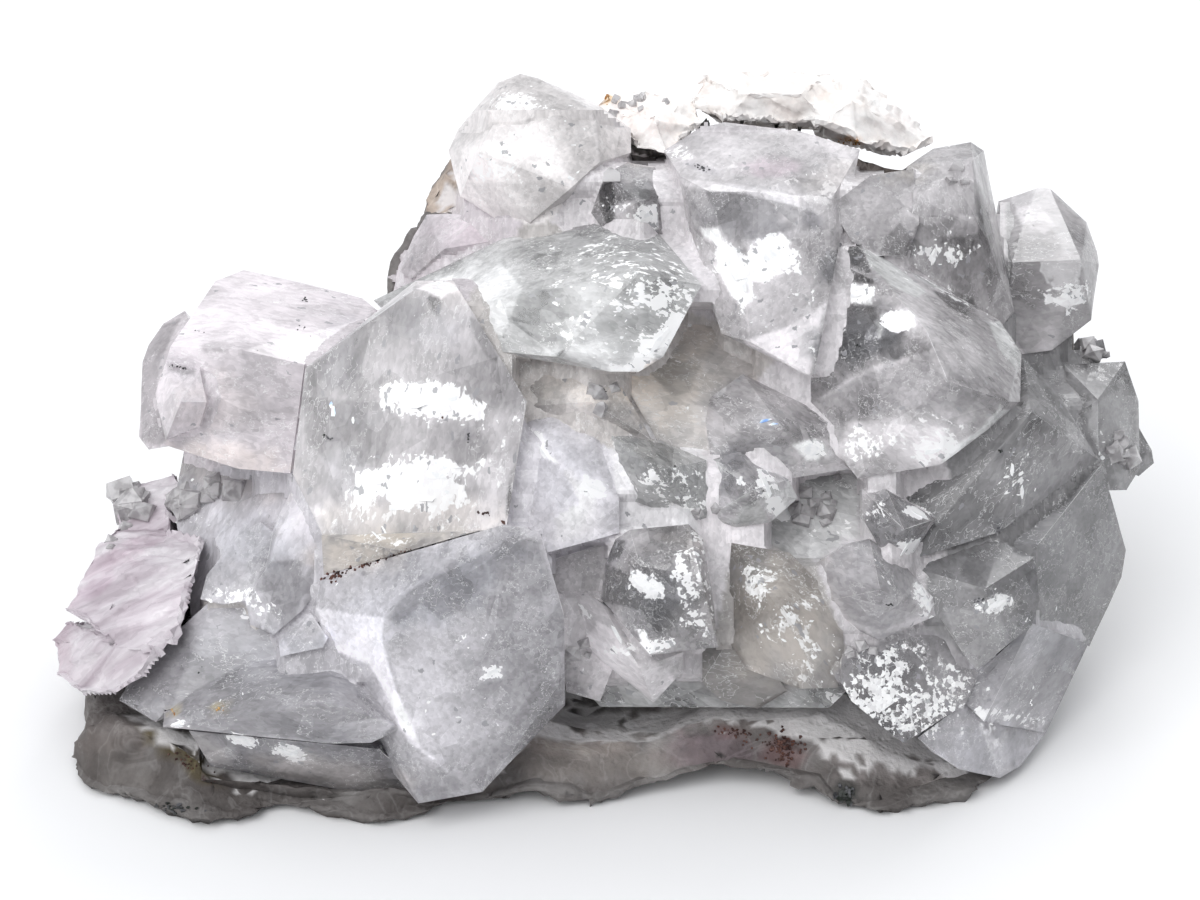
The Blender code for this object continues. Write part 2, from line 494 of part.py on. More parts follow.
def build():
    clear_scene()
    parts = new_collection(SPECIMEN, shown=True)

    cluster = grown_cluster("crystal_cluster", CRYSTALS, parts)
    lilac = grown_cluster("lilac_mass", LILAC_LUMPS, parts)
    combine(lilac, clearance("room_for_crystals", [CRYSTALS]), "DIFFERENCE")
    cream = grown_cluster("cream_crust", CREAM_LUMPS, parts)
    combine(cream, clearance("room_for_long_crystals", [CRYSTALS]), "DIFFERENCE")
    rock = rough_rock("matrix", parts)
    cut_hollows(rock)
    combine(rock, clearance("room_for_all", [CRYSTALS, LILAC_LUMPS, CREAM_LUMPS]), "DIFFERENCE")
    for piece in (cluster, lilac, cream, rock):
        keep_main_body(piece)
    centre_on_origin((cluster, lilac, cream, rock))

    finish(cluster, (0.80, 0.81, 0.82), 0.12, transmission=0.7)
    finish(lilac, (0.82, 0.77, 0.80), 0.35)
    finish(cream, (0.86, 0.80, 0.74), 0.5)
    finish(rock, (0.52, 0.49, 0.47), 0.8)


build()
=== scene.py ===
# %% [markdown]
# # An apophyllite specimen
#
# The real object is a broken lump of grey-brown rock with one side covered in blocky apophyllite crystals. This
# lesson dresses its solid model: clear and milky crystals, a lilac mass at one end, a cream crust behind the
# crest and the rock that carries them. Everything is in metres in the object's own frame, and the crystal
# side faces -Y.

# %% Load the solid model
import math
import random

import bmesh
import bpy
import numpy as np
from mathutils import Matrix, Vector, noise
from mathutils.bvhtree import BVHTree


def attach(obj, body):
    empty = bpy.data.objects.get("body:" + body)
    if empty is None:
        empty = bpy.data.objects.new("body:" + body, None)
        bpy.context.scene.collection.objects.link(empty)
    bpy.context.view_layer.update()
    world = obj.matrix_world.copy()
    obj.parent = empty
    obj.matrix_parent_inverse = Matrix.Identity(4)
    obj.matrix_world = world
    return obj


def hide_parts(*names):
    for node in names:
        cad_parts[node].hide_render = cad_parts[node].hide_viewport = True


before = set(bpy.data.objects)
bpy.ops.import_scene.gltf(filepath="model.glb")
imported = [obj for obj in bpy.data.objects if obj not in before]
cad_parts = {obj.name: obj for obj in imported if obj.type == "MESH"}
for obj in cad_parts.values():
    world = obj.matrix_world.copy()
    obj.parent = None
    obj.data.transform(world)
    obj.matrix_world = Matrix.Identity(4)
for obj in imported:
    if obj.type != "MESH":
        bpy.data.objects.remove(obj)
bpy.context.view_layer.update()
MM = 0.001
print("solid parts:", sorted(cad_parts))

# %% [markdown]
# The crystals grow from one sloping side, the druse face. Places on it are easier to give square to that side:
# across, up the slope, and out from the rock. All three are in millimetres from a point in its middle.

# %% Places on the druse face
LEAN = math.radians(28)
DRUSE_ORIGIN = Vector((-1.25, -8.459, 28.0))
ACROSS = Vector((1, 0, 0))
UP = Vector((0, math.sin(LEAN), math.cos(LEAN)))
OUT = Vector((0, -math.cos(LEAN), math.sin(LEAN)))


def druse_point(across, up, out):
    return (DRUSE_ORIGIN + ACROSS * across + UP * up + OUT * out) * MM


# %% [markdown]
# A camera square to the druse face shows every crystal about as large as it is. A long lens keeps the outlines
# of near and far crystals in proportion. Marks on the crystals are later placed by where they show in this
# camera's frame, taken as 1200 by 900 squares, and then stay fixed to the surface.

# %% Camera
CAMERA_DISTANCE = 253  # millimetres from the druse face
FRAME_WIDE, FRAME_HIGH = 1200, 900
camera_data = bpy.data.cameras.new("camera")
camera_data.lens = 70
camera_data.sensor_width = 36
camera_data.clip_start = 0.01
camera = bpy.data.objects.new("camera", camera_data)
camera.location = druse_point(0, 0, CAMERA_DISTANCE)
camera.rotation_euler = (math.radians(90) - LEAN, 0, 0)
bpy.context.scene.collection.objects.link(camera)
bpy.context.scene.camera = camera
FOCAL = camera_data.lens / camera_data.sensor_width * FRAME_WIDE


def view_ray(u, v):
    """The direction from the camera through a place in its frame."""
    return (ACROSS * (u - FRAME_WIDE / 2) - UP * (v - FRAME_HIGH / 2) - OUT * FOCAL).normalized()


print("camera stands at", tuple(round(value, 3) for value in camera.location))

# %% [markdown]
# Materials are built from nodes. Writing their sums as Python keeps them readable: a `Wire` stands for one
# socket of a node tree, and adding, multiplying or comparing wires adds the nodes that do it. Every other node
# comes from one method, `node`, which sets what the node is before it fills its sockets.


# %% Wires: sums of sockets
class Wire:
    """An output socket that can be used in arithmetic; plain numbers may stand on either side."""

    def __init__(self, finish, socket):
        self.finish = finish
        self.socket = socket

    def math(self, operation, *values):
        return self.finish.node("ShaderNodeMath", {"operation": operation}, dict(enumerate(values)))

    def __add__(self, other):
        return self.math("ADD", self, other)

    __radd__ = __add__

    def __mul__(self, other):
        return self.math("MULTIPLY", self, other)

    __rmul__ = __mul__

    def __sub__(self, other):
        return self.math("SUBTRACT", self, other)

    def __rsub__(self, other):
        return self.math("SUBTRACT", other, self)

    def __abs__(self):
        return self.math("ABSOLUTE", self)

    def above(self, other):
        return self.math("GREATER_THAN", self, other)

    def most(self, other):
        return self.math("MAXIMUM", self, other)

    def step(self, low, high):
        """0 below low and 1 above high, with a soft slope between; a falling step has low above high."""
        rising = low < high
        ends = {1: min(low, high), 2: max(low, high), 3: 0.0 if rising else 1.0, 4: 1.0 if rising else 0.0}
        settings = {"interpolation_type": "SMOOTHSTEP"}
        return self.finish.node("ShaderNodeMapRange", settings, {0: self, **ends})


# %% A finish: one material and its node tree
class Finish:
    """A material under construction."""

    def __init__(self, name):
        self.material = bpy.data.materials.new(name)
        self.material.use_nodes = True
        self.tree = self.material.node_tree
        self.tree.nodes.clear()
        metres = self.node("ShaderNodeTexCoord", output="Object")
        self.place = self.scaled(metres, 1 / MM)

    def node(self, kind, settings=None, inputs=None, output=0):
        """Adds a node: its settings first, then its sockets; returns one of its outputs as a wire."""
        made = self.tree.nodes.new(kind)
        for name, value in (settings or {}).items():
            if name == "stops":
                self.fill_ramp(made.color_ramp, value)
            else:
                setattr(made, name, value)
        for key, value in (inputs or {}).items():
            socket = made.inputs[key]
            if isinstance(value, Wire):
                self.tree.links.new(value.socket, socket)
            else:
                socket.default_value = value
        return Wire(self, made.outputs[output])

    def fill_ramp(self, ramp, stops):
        while len(ramp.elements) < len(stops):
            ramp.elements.new(0.5)
        for element, (position, colour) in zip(ramp.elements, stops):
            element.position = position
            element.color = (*colour, 1)

    def ramp(self, value, *stops):
        return self.node("ShaderNodeValToRGB", {"stops": stops}, {0: value})

    def vector(self, operation, *values, output=0):
        return self.node("ShaderNodeVectorMath", {"operation": operation}, dict(enumerate(values)), output)

    def scaled(self, vector, by):
        return self.node("ShaderNodeVectorMath", {"operation": "SCALE"}, {0: vector, "Scale": by})

    def painted(self, name, output="Fac"):
        """A value that the mesh carries under this name."""
        return self.node("ShaderNodeAttribute", {"attribute_name": name}, output=output)

    def mix(self, first, second, mask):
        """A colour that goes from the first to the second as the mask goes from 0 to 1."""
        first = (*first, 1) if isinstance(first, tuple) else first
        second = (*second, 1) if isinstance(second, tuple) else second
        inputs = {"Factor": mask, 6: first, 7: second}
        return self.node("ShaderNodeMix", {"data_type": "RGBA"}, inputs, output=2)

    def tint(self, colour, by):
        """Multiplies one colour by another, or by a number."""
        if isinstance(by, Wire) and by.socket.type == "VALUE":
            return self.scaled(colour, by)
        return self.vector("MULTIPLY", colour, by)

    def noise(self, per_mm, detail=3.0, rough=0.5, bend=0.0, place=None, output=0):
        inputs = {"Scale": per_mm, "Detail": detail, "Roughness": rough, "Distortion": bend}
        inputs["Vector"] = place or self.place
        return self.node("ShaderNodeTexNoise", {"noise_dimensions": "3D"}, inputs, output)

    def cells(self, per_mm, place=None, output="Distance"):
        inputs = {"Vector": place or self.place, "Scale": per_mm}
        return self.node("ShaderNodeTexVoronoi", None, inputs, output)

    def split(self, colour):
        """The three parts of a colour, as numbers."""
        first = self.node("ShaderNodeSeparateColor", None, {0: colour})
        return [Wire(self, socket) for socket in first.socket.node.outputs[:3]]

    def tilted(self, *turns):
        """The surface's own direction, turned a little by three numbers."""
        normal = self.node("ShaderNodeNewGeometry", output="Normal")
        turn = self.node("ShaderNodeCombineXYZ", None, dict(enumerate(turns)))
        return self.vector("NORMALIZE", self.vector("ADD", normal, turn))

    def bump(self, height, depth_mm, strength=1.0):
        inputs = {"Height": height, "Distance": depth_mm * MM, "Strength": strength}
        return self.node("ShaderNodeBump", None, inputs)

    def principled(self, **inputs):
        named = {name.replace("_", " "): value for name, value in inputs.items()}
        return self.node("ShaderNodeBsdfPrincipled", None, named)

    def mixed(self, first, second, mask):
        return self.node("ShaderNodeMixShader", None, {0: mask, 1: first, 2: second})

    def done(self, surface, volume=None):
        """Ends the tree and returns the material."""
        sockets = {"Surface": surface, "Volume": volume} if volume else {"Surface": surface}
        output = self.tree.nodes.new("ShaderNodeOutputMaterial")
        for name, wire in sockets.items():
            self.tree.links.new(wire.socket, output.inputs[name])
        return self.material


# %% [markdown]
# The studio is a white table under a large soft light. Glass shows mostly what it reflects, so dark cards
# stand beside and in front of the specimen to draw its edges.


# %% Table
def link(obj):
    bpy.context.scene.collection.objects.link(obj)
    return obj


def slab(name, centre, size, turn=(0, 0, 0)):
    """A flat rectangle."""
    bm = bmesh.new()
    bmesh.ops.create_grid(bm, x_segments=1, y_segments=1, size=0.5)
    bmesh.ops.scale(bm, vec=(*size, 1), verts=bm.verts)
    mesh = bpy.data.meshes.new(name)
    bm.to_mesh(mesh)
    bm.free()
    made = link(bpy.data.objects.new(name, mesh))
    made.location = centre
    made.rotation_euler = turn
    return made


FLOOR_GAP = 0.15 * MM  # so that the floor and the flat base don't share a plane
floor = slab("floor", (0, 0, -FLOOR_GAP), (8, 8))
paint = Finish("white_table")
floor.data.materials.append(paint.done(paint.principled(Base_Color=(0.92, 0.92, 0.925, 1), Roughness=0.9)))

# %% Lights
AIM = Vector((0, 0, 0.03))


def soft_light(name, place, size, watts):
    """A rectangle of light that faces the middle of the specimen."""
    light = bpy.data.lights.new(name, "AREA")
    light.shape = "RECTANGLE"
    light.size, light.size_y = size
    light.energy = watts
    lamp = link(bpy.data.objects.new(name, light))
    lamp.location = place
    lamp.rotation_euler = (AIM - Vector(place)).to_track_quat("-Z", "Y").to_euler()


soft_light("key_light", (-0.32, -0.38, 0.58), (0.60, 0.60), 2.8)
soft_light("back_light", (0.25, 0.5, 0.5), (0.5, 0.3), 1.8)

# the room is dimmer near the horizon than overhead: height, colour
ROOM_COLOURS = ((0.0, (0.45, 0.45, 0.46, 1)), (0.8, (0.95, 0.97, 1.0, 1)))
ROOM_STRENGTH = 0.90
world = bpy.data.worlds.new("room")
bpy.context.scene.world = world
world.use_nodes = True
nodes, links = world.node_tree.nodes, world.node_tree.links
sky = nodes.new("ShaderNodeTexCoord")
split = nodes.new("ShaderNodeSeparateXYZ")
ramp = nodes.new("ShaderNodeValToRGB")
links.new(sky.outputs["Generated"], split.inputs[0])
links.new(split.outputs["Z"], ramp.inputs["Fac"])
links.new(ramp.outputs["Color"], nodes["Background"].inputs["Color"])
for element, (height, colour) in zip(ramp.color_ramp.elements, ROOM_COLOURS):
    element.position = height
    element.color = colour
nodes["Background"].inputs["Strength"].default_value = ROOM_STRENGTH

# A few bounces carry light through a crystal and out again; more of them change the look little.
cycles = bpy.context.scene.cycles
cycles.max_bounces = 4
cycles.caustics_refractive = False
cycles.caustics_reflective = False

view = bpy.context.scene.view_settings
view.view_transform = "Standard"
view.look = "None"

# %% Dark cards
paint = Finish("black_card")
card_paint = paint.done(paint.principled(Base_Color=(0.01, 0.01, 0.01, 1), Roughness=1.0))
CARDS = {
    "card_right": ((0.42, -0.12, 0.12), (0.35, 0.4), (0, math.radians(90), 0)),
    "card_front": ((0.05, -0.6, 0.06), (0.9, 0.22), (math.radians(90), 0, 0)),
}
for card_name, (centre, size, turn) in CARDS.items():
    card = slab(card_name, centre, size, turn)
    card.data.materials.append(card_paint)
    card.visible_camera = False
    card.visible_shadow = False

# %% [markdown]
# The crystals are one solid, because they have grown into each other, but each has its own clearness and its
# own fine lines. Neighbouring crystals always meet in an inward fold, so walking over the outward edges only
# gathers the faces of one crystal.


# %% Find the single crystals
def copy_node(name, new_name):
    """A copy of a solid's mesh as a new piece that stands for it."""
    piece = link(bpy.data.objects.new(new_name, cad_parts[name].data.copy()))
    piece.data.materials.clear()
    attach(piece, "root")
    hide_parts(name)
    return piece


INWARD_FOLD = math.radians(-3)
FLAT_ENOUGH = math.radians(14)


def groups_of(faces, joined):
    """Lists of faces that can be reached from one another over the edges that count as joined."""
    left = set(faces)
    found = []
    for first in faces:
        if first not in left:
            continue
        left.discard(first)
        front, group = [first], [first]
        while front:
            for edge in front.pop().edges:
                if len(edge.link_faces) != 2 or not joined(edge):
                    continue
                for face in edge.link_faces:
                    if face in left:
                        left.remove(face)
                        front.append(face)
                        group.append(face)
        found.append(group)
    return found


def welded(mesh):
    bm = bmesh.new()
    bm.from_mesh(mesh)
    bmesh.ops.remove_doubles(bm, verts=bm.verts, dist=0.02 * MM)
    bmesh.ops.dissolve_degenerate(bm, dist=0.01 * MM, edges=bm.edges)
    bm.normal_update()
    bm.faces.index_update()
    return bm


cluster = copy_node("crystal_cluster", "crystals")
bm = welded(cluster.data)
tone_layer = bm.faces.layers.float.new("tone")
kind_layer = bm.faces.layers.int.new("kind")
grain_layer = bm.faces.layers.float_vector.new("grain")
crystals = groups_of(list(bm.faces), lambda edge: edge.calc_face_angle_signed() > INWARD_FOLD)
print(len(crystals), "crystals of", len(bm.faces), "faces; the largest have", sorted(map(len, crystals))[-6:])

# %% [markdown]
# Where each kind of crystal grows: the pale ones at the left and on the crest are milky, the large ones in the
# middle are clear, and those at the lower right are a dull grey, painted darker still as painted shade on the side
# away from the light. Each crystal takes the kind of the nearest place in the list. A kind says how milky the
# crystal is, how many flakes glitter in it, and its tint.

# %% Kinds of crystal
# name: milkiness, glitter, tint
KINDS = {
    "clear": (0.40, 0.36, (0.84, 0.805, 0.825)),
    "frosty": (0.57, 0.36, (0.80, 0.765, 0.785)),
    "blue": (0.58, 0.22, (0.69, 0.67, 0.705)),
    "beige": (0.62, 0.30, (0.74, 0.70, 0.68)),
    "milky": (0.82, 0.22, (0.89, 0.85, 0.845)),
    "pink": (0.84, 0.24, (0.74, 0.69, 0.72)),
    # a dull grey, painted much darker than the rest: partly painted shade on the side away from the light
    "grey": (0.60, 0.14, (0.25, 0.245, 0.25)),
    "glitter": (0.54, 0.55, (0.40, 0.385, 0.40)),
}
KIND_NAMES = list(KINDS)
# (across, up, kind, tone): the tone lightens or darkens the crystal a little.
PLACES = [
    (-38, 10, "pink", 0.0), (-50, 8, "pink", -0.08), (-44, 6, "pink", 0.08),
    (-19, 3, "frosty", -0.08), (-18, -10, "beige", -0.13), (-14, -23, "blue", 0.10),
    (-33, -25, "blue", -0.20), (-40, -20, "beige", -0.20), (-30, -32, "blue", -0.25), (-36, -8, "blue", 0.08),
    (-32, -14, "blue", 0.06), (-7, 33, "milky", 0.0), (-17, 23, "pink", 0.0), (-6, 16, "beige", -0.42),
    (3, 27, "clear", 0.0), (16, 30, "frosty", 0.10), (16, 18, "frosty", 0.20), (33, 8, "clear", 0.12),
    (30, 25, "frosty", -0.28), (39, 25, "frosty", -0.28), (51, 22, "grey", 0.70), (57, 3, "grey", 0.60),
    (44, -3, "grey", 0.60), (50, -10, "grey", -0.10), (39, -15, "grey", 0.35), (28, -14, "frosty", -0.15),
    (31, -8, "clear", 0.0), (32, -24, "glitter", 0.0), (44, -24, "blue", -0.20), (41, -31, "blue", -0.20),
    (6, -14, "clear", 0.0), (-3, -4, "blue", 0.40), (6, -3, "clear", 0.45), (15, -4, "frosty", 0.40),
    (3, -20, "frosty", -0.05), (19, -17, "beige", -0.52), (12, 8, "beige", 0.10), (18, 3, "clear", 0.15),
    (0, 6, "beige", 0.0),
]


def druse_place(point):
    """(across, up) of a point in metres."""
    offset = point / MM - DRUSE_ORIGIN
    return offset.dot(ACROSS), offset.dot(UP)


def nearest_place(across, up):
    return min(PLACES, key=lambda place: (place[0] - across) ** 2 + (place[1] - up) ** 2)


FACET_TONE = 0.07
rng = random.Random(7)
counts = {kind: 0 for kind in KINDS}
for crystal in crystals:
    area = sum(face.calc_area() for face in crystal) or 1e-12
    middle = sum((face.calc_center_median() * face.calc_area() for face in crystal), Vector()) / area
    _, _, kind, kind_tone = nearest_place(*druse_place(middle))
    longest = max((edge for face in crystal for edge in face.edges), key=lambda edge: edge.calc_length())
    grain = (longest.verts[1].co - longest.verts[0].co).normalized()
    for facet in groups_of(crystal, lambda edge: abs(edge.calc_face_angle_signed()) < FLAT_ENOUGH):
        tone = kind_tone + rng.uniform(-FACET_TONE, FACET_TONE)
        for face in facet:
            face[kind_layer] = KIND_NAMES.index(kind)
            face[tone_layer] = tone
            face[grain_layer] = grain
    counts[kind] += 1
bm.to_mesh(cluster.data)
bm.free()
print("crystals of each kind:", counts)

# %% [markdown]
# A sharp edge of real crystal is worn a little and catches the light as a thin line, so every edge gets a
# narrow bevel with a near-white finish of its own: partly that wear, partly a painted highlight along the edge.
# After that the faces are cut finer, which gives room for shallow waves in them and for paint on their points:
# each point then carries how milky, how glittering and how tinted the crystal is there.

# %% Worn edges with a painted highlight, and finer faces
BODY, WORN_AND_LIT = 0, 1
WORN_WIDTH_MM = 0.14
WORN_FROM = math.radians(24)
bevel = cluster.modifiers.new("worn_edges", "BEVEL")
bevel.width = WORN_WIDTH_MM * MM
bevel.segments = 1
bevel.limit_method = "ANGLE"
bevel.angle_limit = WORN_FROM
bevel.material = WORN_AND_LIT
for slot_name in ("body", "worn"):
    cluster.data.materials.append(bpy.data.materials.new(slot_name + "_blank"))


def baked(piece):
    """Replaces a piece's mesh by what its modifiers make of it."""
    graph = bpy.context.evaluated_depsgraph_get()
    mesh = bpy.data.meshes.new_from_object(piece.evaluated_get(graph))
    piece.modifiers.clear()
    piece.data = mesh
    return mesh


def faces_camera(edge):
    return any(face.normal.dot(camera.location - edge.verts[0].co) > 0 for face in edge.link_faces)


MOST_ROUNDS = 8


def cut_finer(bm, longest_mm, far_mm=None):
    """Halves long edges until none is longer than this, or than far_mm on the side away from the camera."""
    far_mm = far_mm or longest_mm
    bmesh.ops.triangulate(bm, faces=bm.faces)
    for _ in range(MOST_ROUNDS):
        bm.normal_update()
        long_edges = [edge for edge in bm.edges if edge.calc_length() > longest_mm * MM]
        if far_mm > longest_mm:
            long_edges = [edge for edge in long_edges if edge.calc_length() > far_mm * MM or faces_camera(edge)]
        if not long_edges:
            break
        bmesh.ops.subdivide_edges(bm, edges=long_edges, cuts=1)
        bmesh.ops.triangulate(bm, faces=[face for face in bm.faces if len(face.verts) > 3])


def sway(point, per_mm, seed=0.0):
    """Smooth noise from -1 to 1."""
    return noise.noise(point * (per_mm / MM) + Vector((seed, seed, seed)))


FACE_WAVES_MM = 0.10
LONGEST_SEEN_MM, LONGEST_FAR_MM = 1.4, 3.5
baked(cluster)
bm = welded(cluster.data)
cut_finer(bm, LONGEST_SEEN_MM, LONGEST_FAR_MM)
bm.normal_update()
for vert in bm.verts:
    vert.co -= vert.normal * FACE_WAVES_MM * MM * (0.5 + 0.5 * sway(vert.co, 0.22))
bm.to_mesh(cluster.data)
bm.free()
cluster.data.shade_smooth()
cluster.data.set_sharp_from_angle(angle=FLAT_ENOUGH)
print("crystals:", len(cluster.data.polygons), "faces")


# %% [markdown]
# The painter works out every point's place in the camera's frame once. A mark is an oval in that frame with a
# ragged edge, on the side that faces the camera; the values it changes stay on the mesh, so they hold from
# every side.


# %% The painter
def read(items, what, kind=float, width=1):
    """One value or vector of every item of a mesh."""
    values = np.empty(len(items) * width, kind)
    items.foreach_get(what, values)
    return values.reshape(-1, width)


def frame_places(points):
    """Where points in the world lie in the frame."""
    from_eye = points - np.array(camera.location)
    depth = -from_eye @ np.array(OUT)
    u = FRAME_WIDE / 2 + FOCAL * (from_eye @ np.array(ACROSS)) / depth
    return u, FRAME_HIGH / 2 - FOCAL * (from_eye @ np.array(UP)) / depth


def inside(u, v, corners, reach=20.0):
    """How far inside a polygon in the frame each place lies; less than zero is outside, down to -reach."""
    wide, high = zip(*corners)
    close = (u > min(wide) - reach) & (u < max(wide) + reach) & (v > min(high) - reach) & (v < max(high) + reach)
    places = np.flatnonzero(close)
    u, v = u[places], v[places]
    within = np.zeros(len(u), bool)
    nearest = np.full(len(u), reach)
    for (u0, v0), (u1, v1) in zip(corners, corners[1:] + corners[:1]):
        run, drop = u1 - u0, v1 - v0
        along = np.clip(((u - u0) * run + (v - v0) * drop) / (run * run + drop * drop), 0, 1)
        nearest = np.minimum(nearest, np.hypot(u - u0 - along * run, v - v0 - along * drop))
        if drop:
            within ^= ((v0 > v) != (v1 > v)) & (u < u0 + (v - v0) * run / drop)
    depth = np.full(len(close), -reach)
    depth[places] = np.where(within, nearest, -nearest)
    return depth


def hemisphere(count):
    """Directions spread over a half sphere about Z."""
    golden = math.pi * (3 - math.sqrt(5))
    heights = [(i + 0.5) / count for i in range(count)]
    return [
        (math.sqrt(1 - h * h) * math.cos(i * golden), math.sqrt(1 - h * h) * math.sin(i * golden), h)
        for i, h in enumerate(heights)
    ]


def tree_of(piece):
    bm = bmesh.new()
    bm.from_mesh(piece.data)
    tree = BVHTree.FromBMesh(bm)
    bm.free()
    return tree


def covered_by(tree, painter, reach_mm, count):
    """How much of the view from each point another piece blocks near by, from 0 to 1, on the camera's side."""
    around = [Vector(direction) for direction in hemisphere(count)]
    blocked = np.zeros(len(painter.points))
    vertices = painter.mesh.vertices
    for index in np.flatnonzero(painter.facing):
        normal = vertices[index].normal
        turn = normal.to_track_quat("Z", "Y")
        start = vertices[index].co + normal * 0.05 * MM
        for direction in around:
            if tree.ray_cast(start, turn @ direction, reach_mm * MM)[0]:
                blocked[index] += 1 / count
    return blocked


class Painter:
    """Values on the points of a mesh."""

    FACING_SLOPE = 6  # how soon paint fades out on faces that turn away from the camera
    RAGGED_EDGE, SOFT_EDGE = 0.55, 0.6

    def __init__(self, mesh):
        self.mesh = mesh
        self.points = read(mesh.vertices, "co", width=3)
        normals = read(mesh.vertices, "normal", width=3)
        from_eye = self.points - np.array(camera.location)
        self.u, self.v = frame_places(self.points)
        towards = -from_eye / np.linalg.norm(from_eye, axis=1)[:, None]
        self.facing = np.clip((normals * towards).sum(axis=1) * self.FACING_SLOPE, 0, 1)
        self.ragged = self.sway(0.5, 11.0) + 0.5 * self.sway(1.2, 5.0)

    def sway(self, per_mm, seed):
        return np.array([sway(Vector(point), per_mm, seed) for point in self.points])

    def oval(self, u, v, wide, high, turn):
        """A soft ragged oval: half sizes, and a turn that goes down to the right."""
        cos, sin = math.cos(math.radians(turn)), math.sin(math.radians(turn))
        along = ((self.u - u) * cos + (self.v - v) * sin) / wide
        aside = ((self.v - v) * cos - (self.u - u) * sin) / high
        reach = np.hypot(along, aside) + self.ragged * self.RAGGED_EDGE
        return np.clip((1.0 - reach) / self.SOFT_EDGE + 0.5, 0, 1) * self.facing

    def store(self, name, values):
        if values.ndim == 1:
            layer = self.mesh.attributes.new(name, "FLOAT", "POINT")
            layer.data.foreach_set("value", values.astype(np.float32))
        else:
            layer = self.mesh.attributes.new(name, "FLOAT_COLOR", "POINT")
            four = np.column_stack([values, np.ones(len(values))]).astype(np.float32)
            layer.data.foreach_set("color", four.ravel())


# %% [markdown]
# Marks on the crystals. Clear places look darker and show what lies inside; veils and flakes are white; stains
# tint; grey marks are painted shade. Each kind of mark changes the milkiness and the glitter, and multiplies the tint.

# %% Marks on the crystals
# name: milkiness, glitter, tint
MARK_KINDS = {
    "flakes": (0.06, 1.05, (1.00, 1.00, 1.00)),
    "veil": (0.25, 0.15, (1.06, 1.06, 1.06)),
    "white": (0.16, 2.20, (1.08, 1.08, 1.08)),
    "warm": (0.22, 0.55, (1.10, 1.08, 1.03)),
    "clear": (-0.40, 0.10, (0.88, 0.90, 0.91)),
    # painted shade: on faces turned from the light, undersides, recesses and the dark windows of clear crystals
    "grey": (0.00, 0.00, (0.80, 0.81, 0.83)),
    "beige": (0.20, 0.00, (1.00, 0.965, 0.91)),
    "yellow": (0.20, 0.00, (1.00, 0.88, 0.52)),
    "mauve": (0.10, 0.00, (0.99, 0.90, 0.955)),
    "blue": (0.05, 0.00, (0.96, 0.98, 1.00)),
    "dark": (0.10, 0.00, (0.42, 0.42, 0.45)),
}
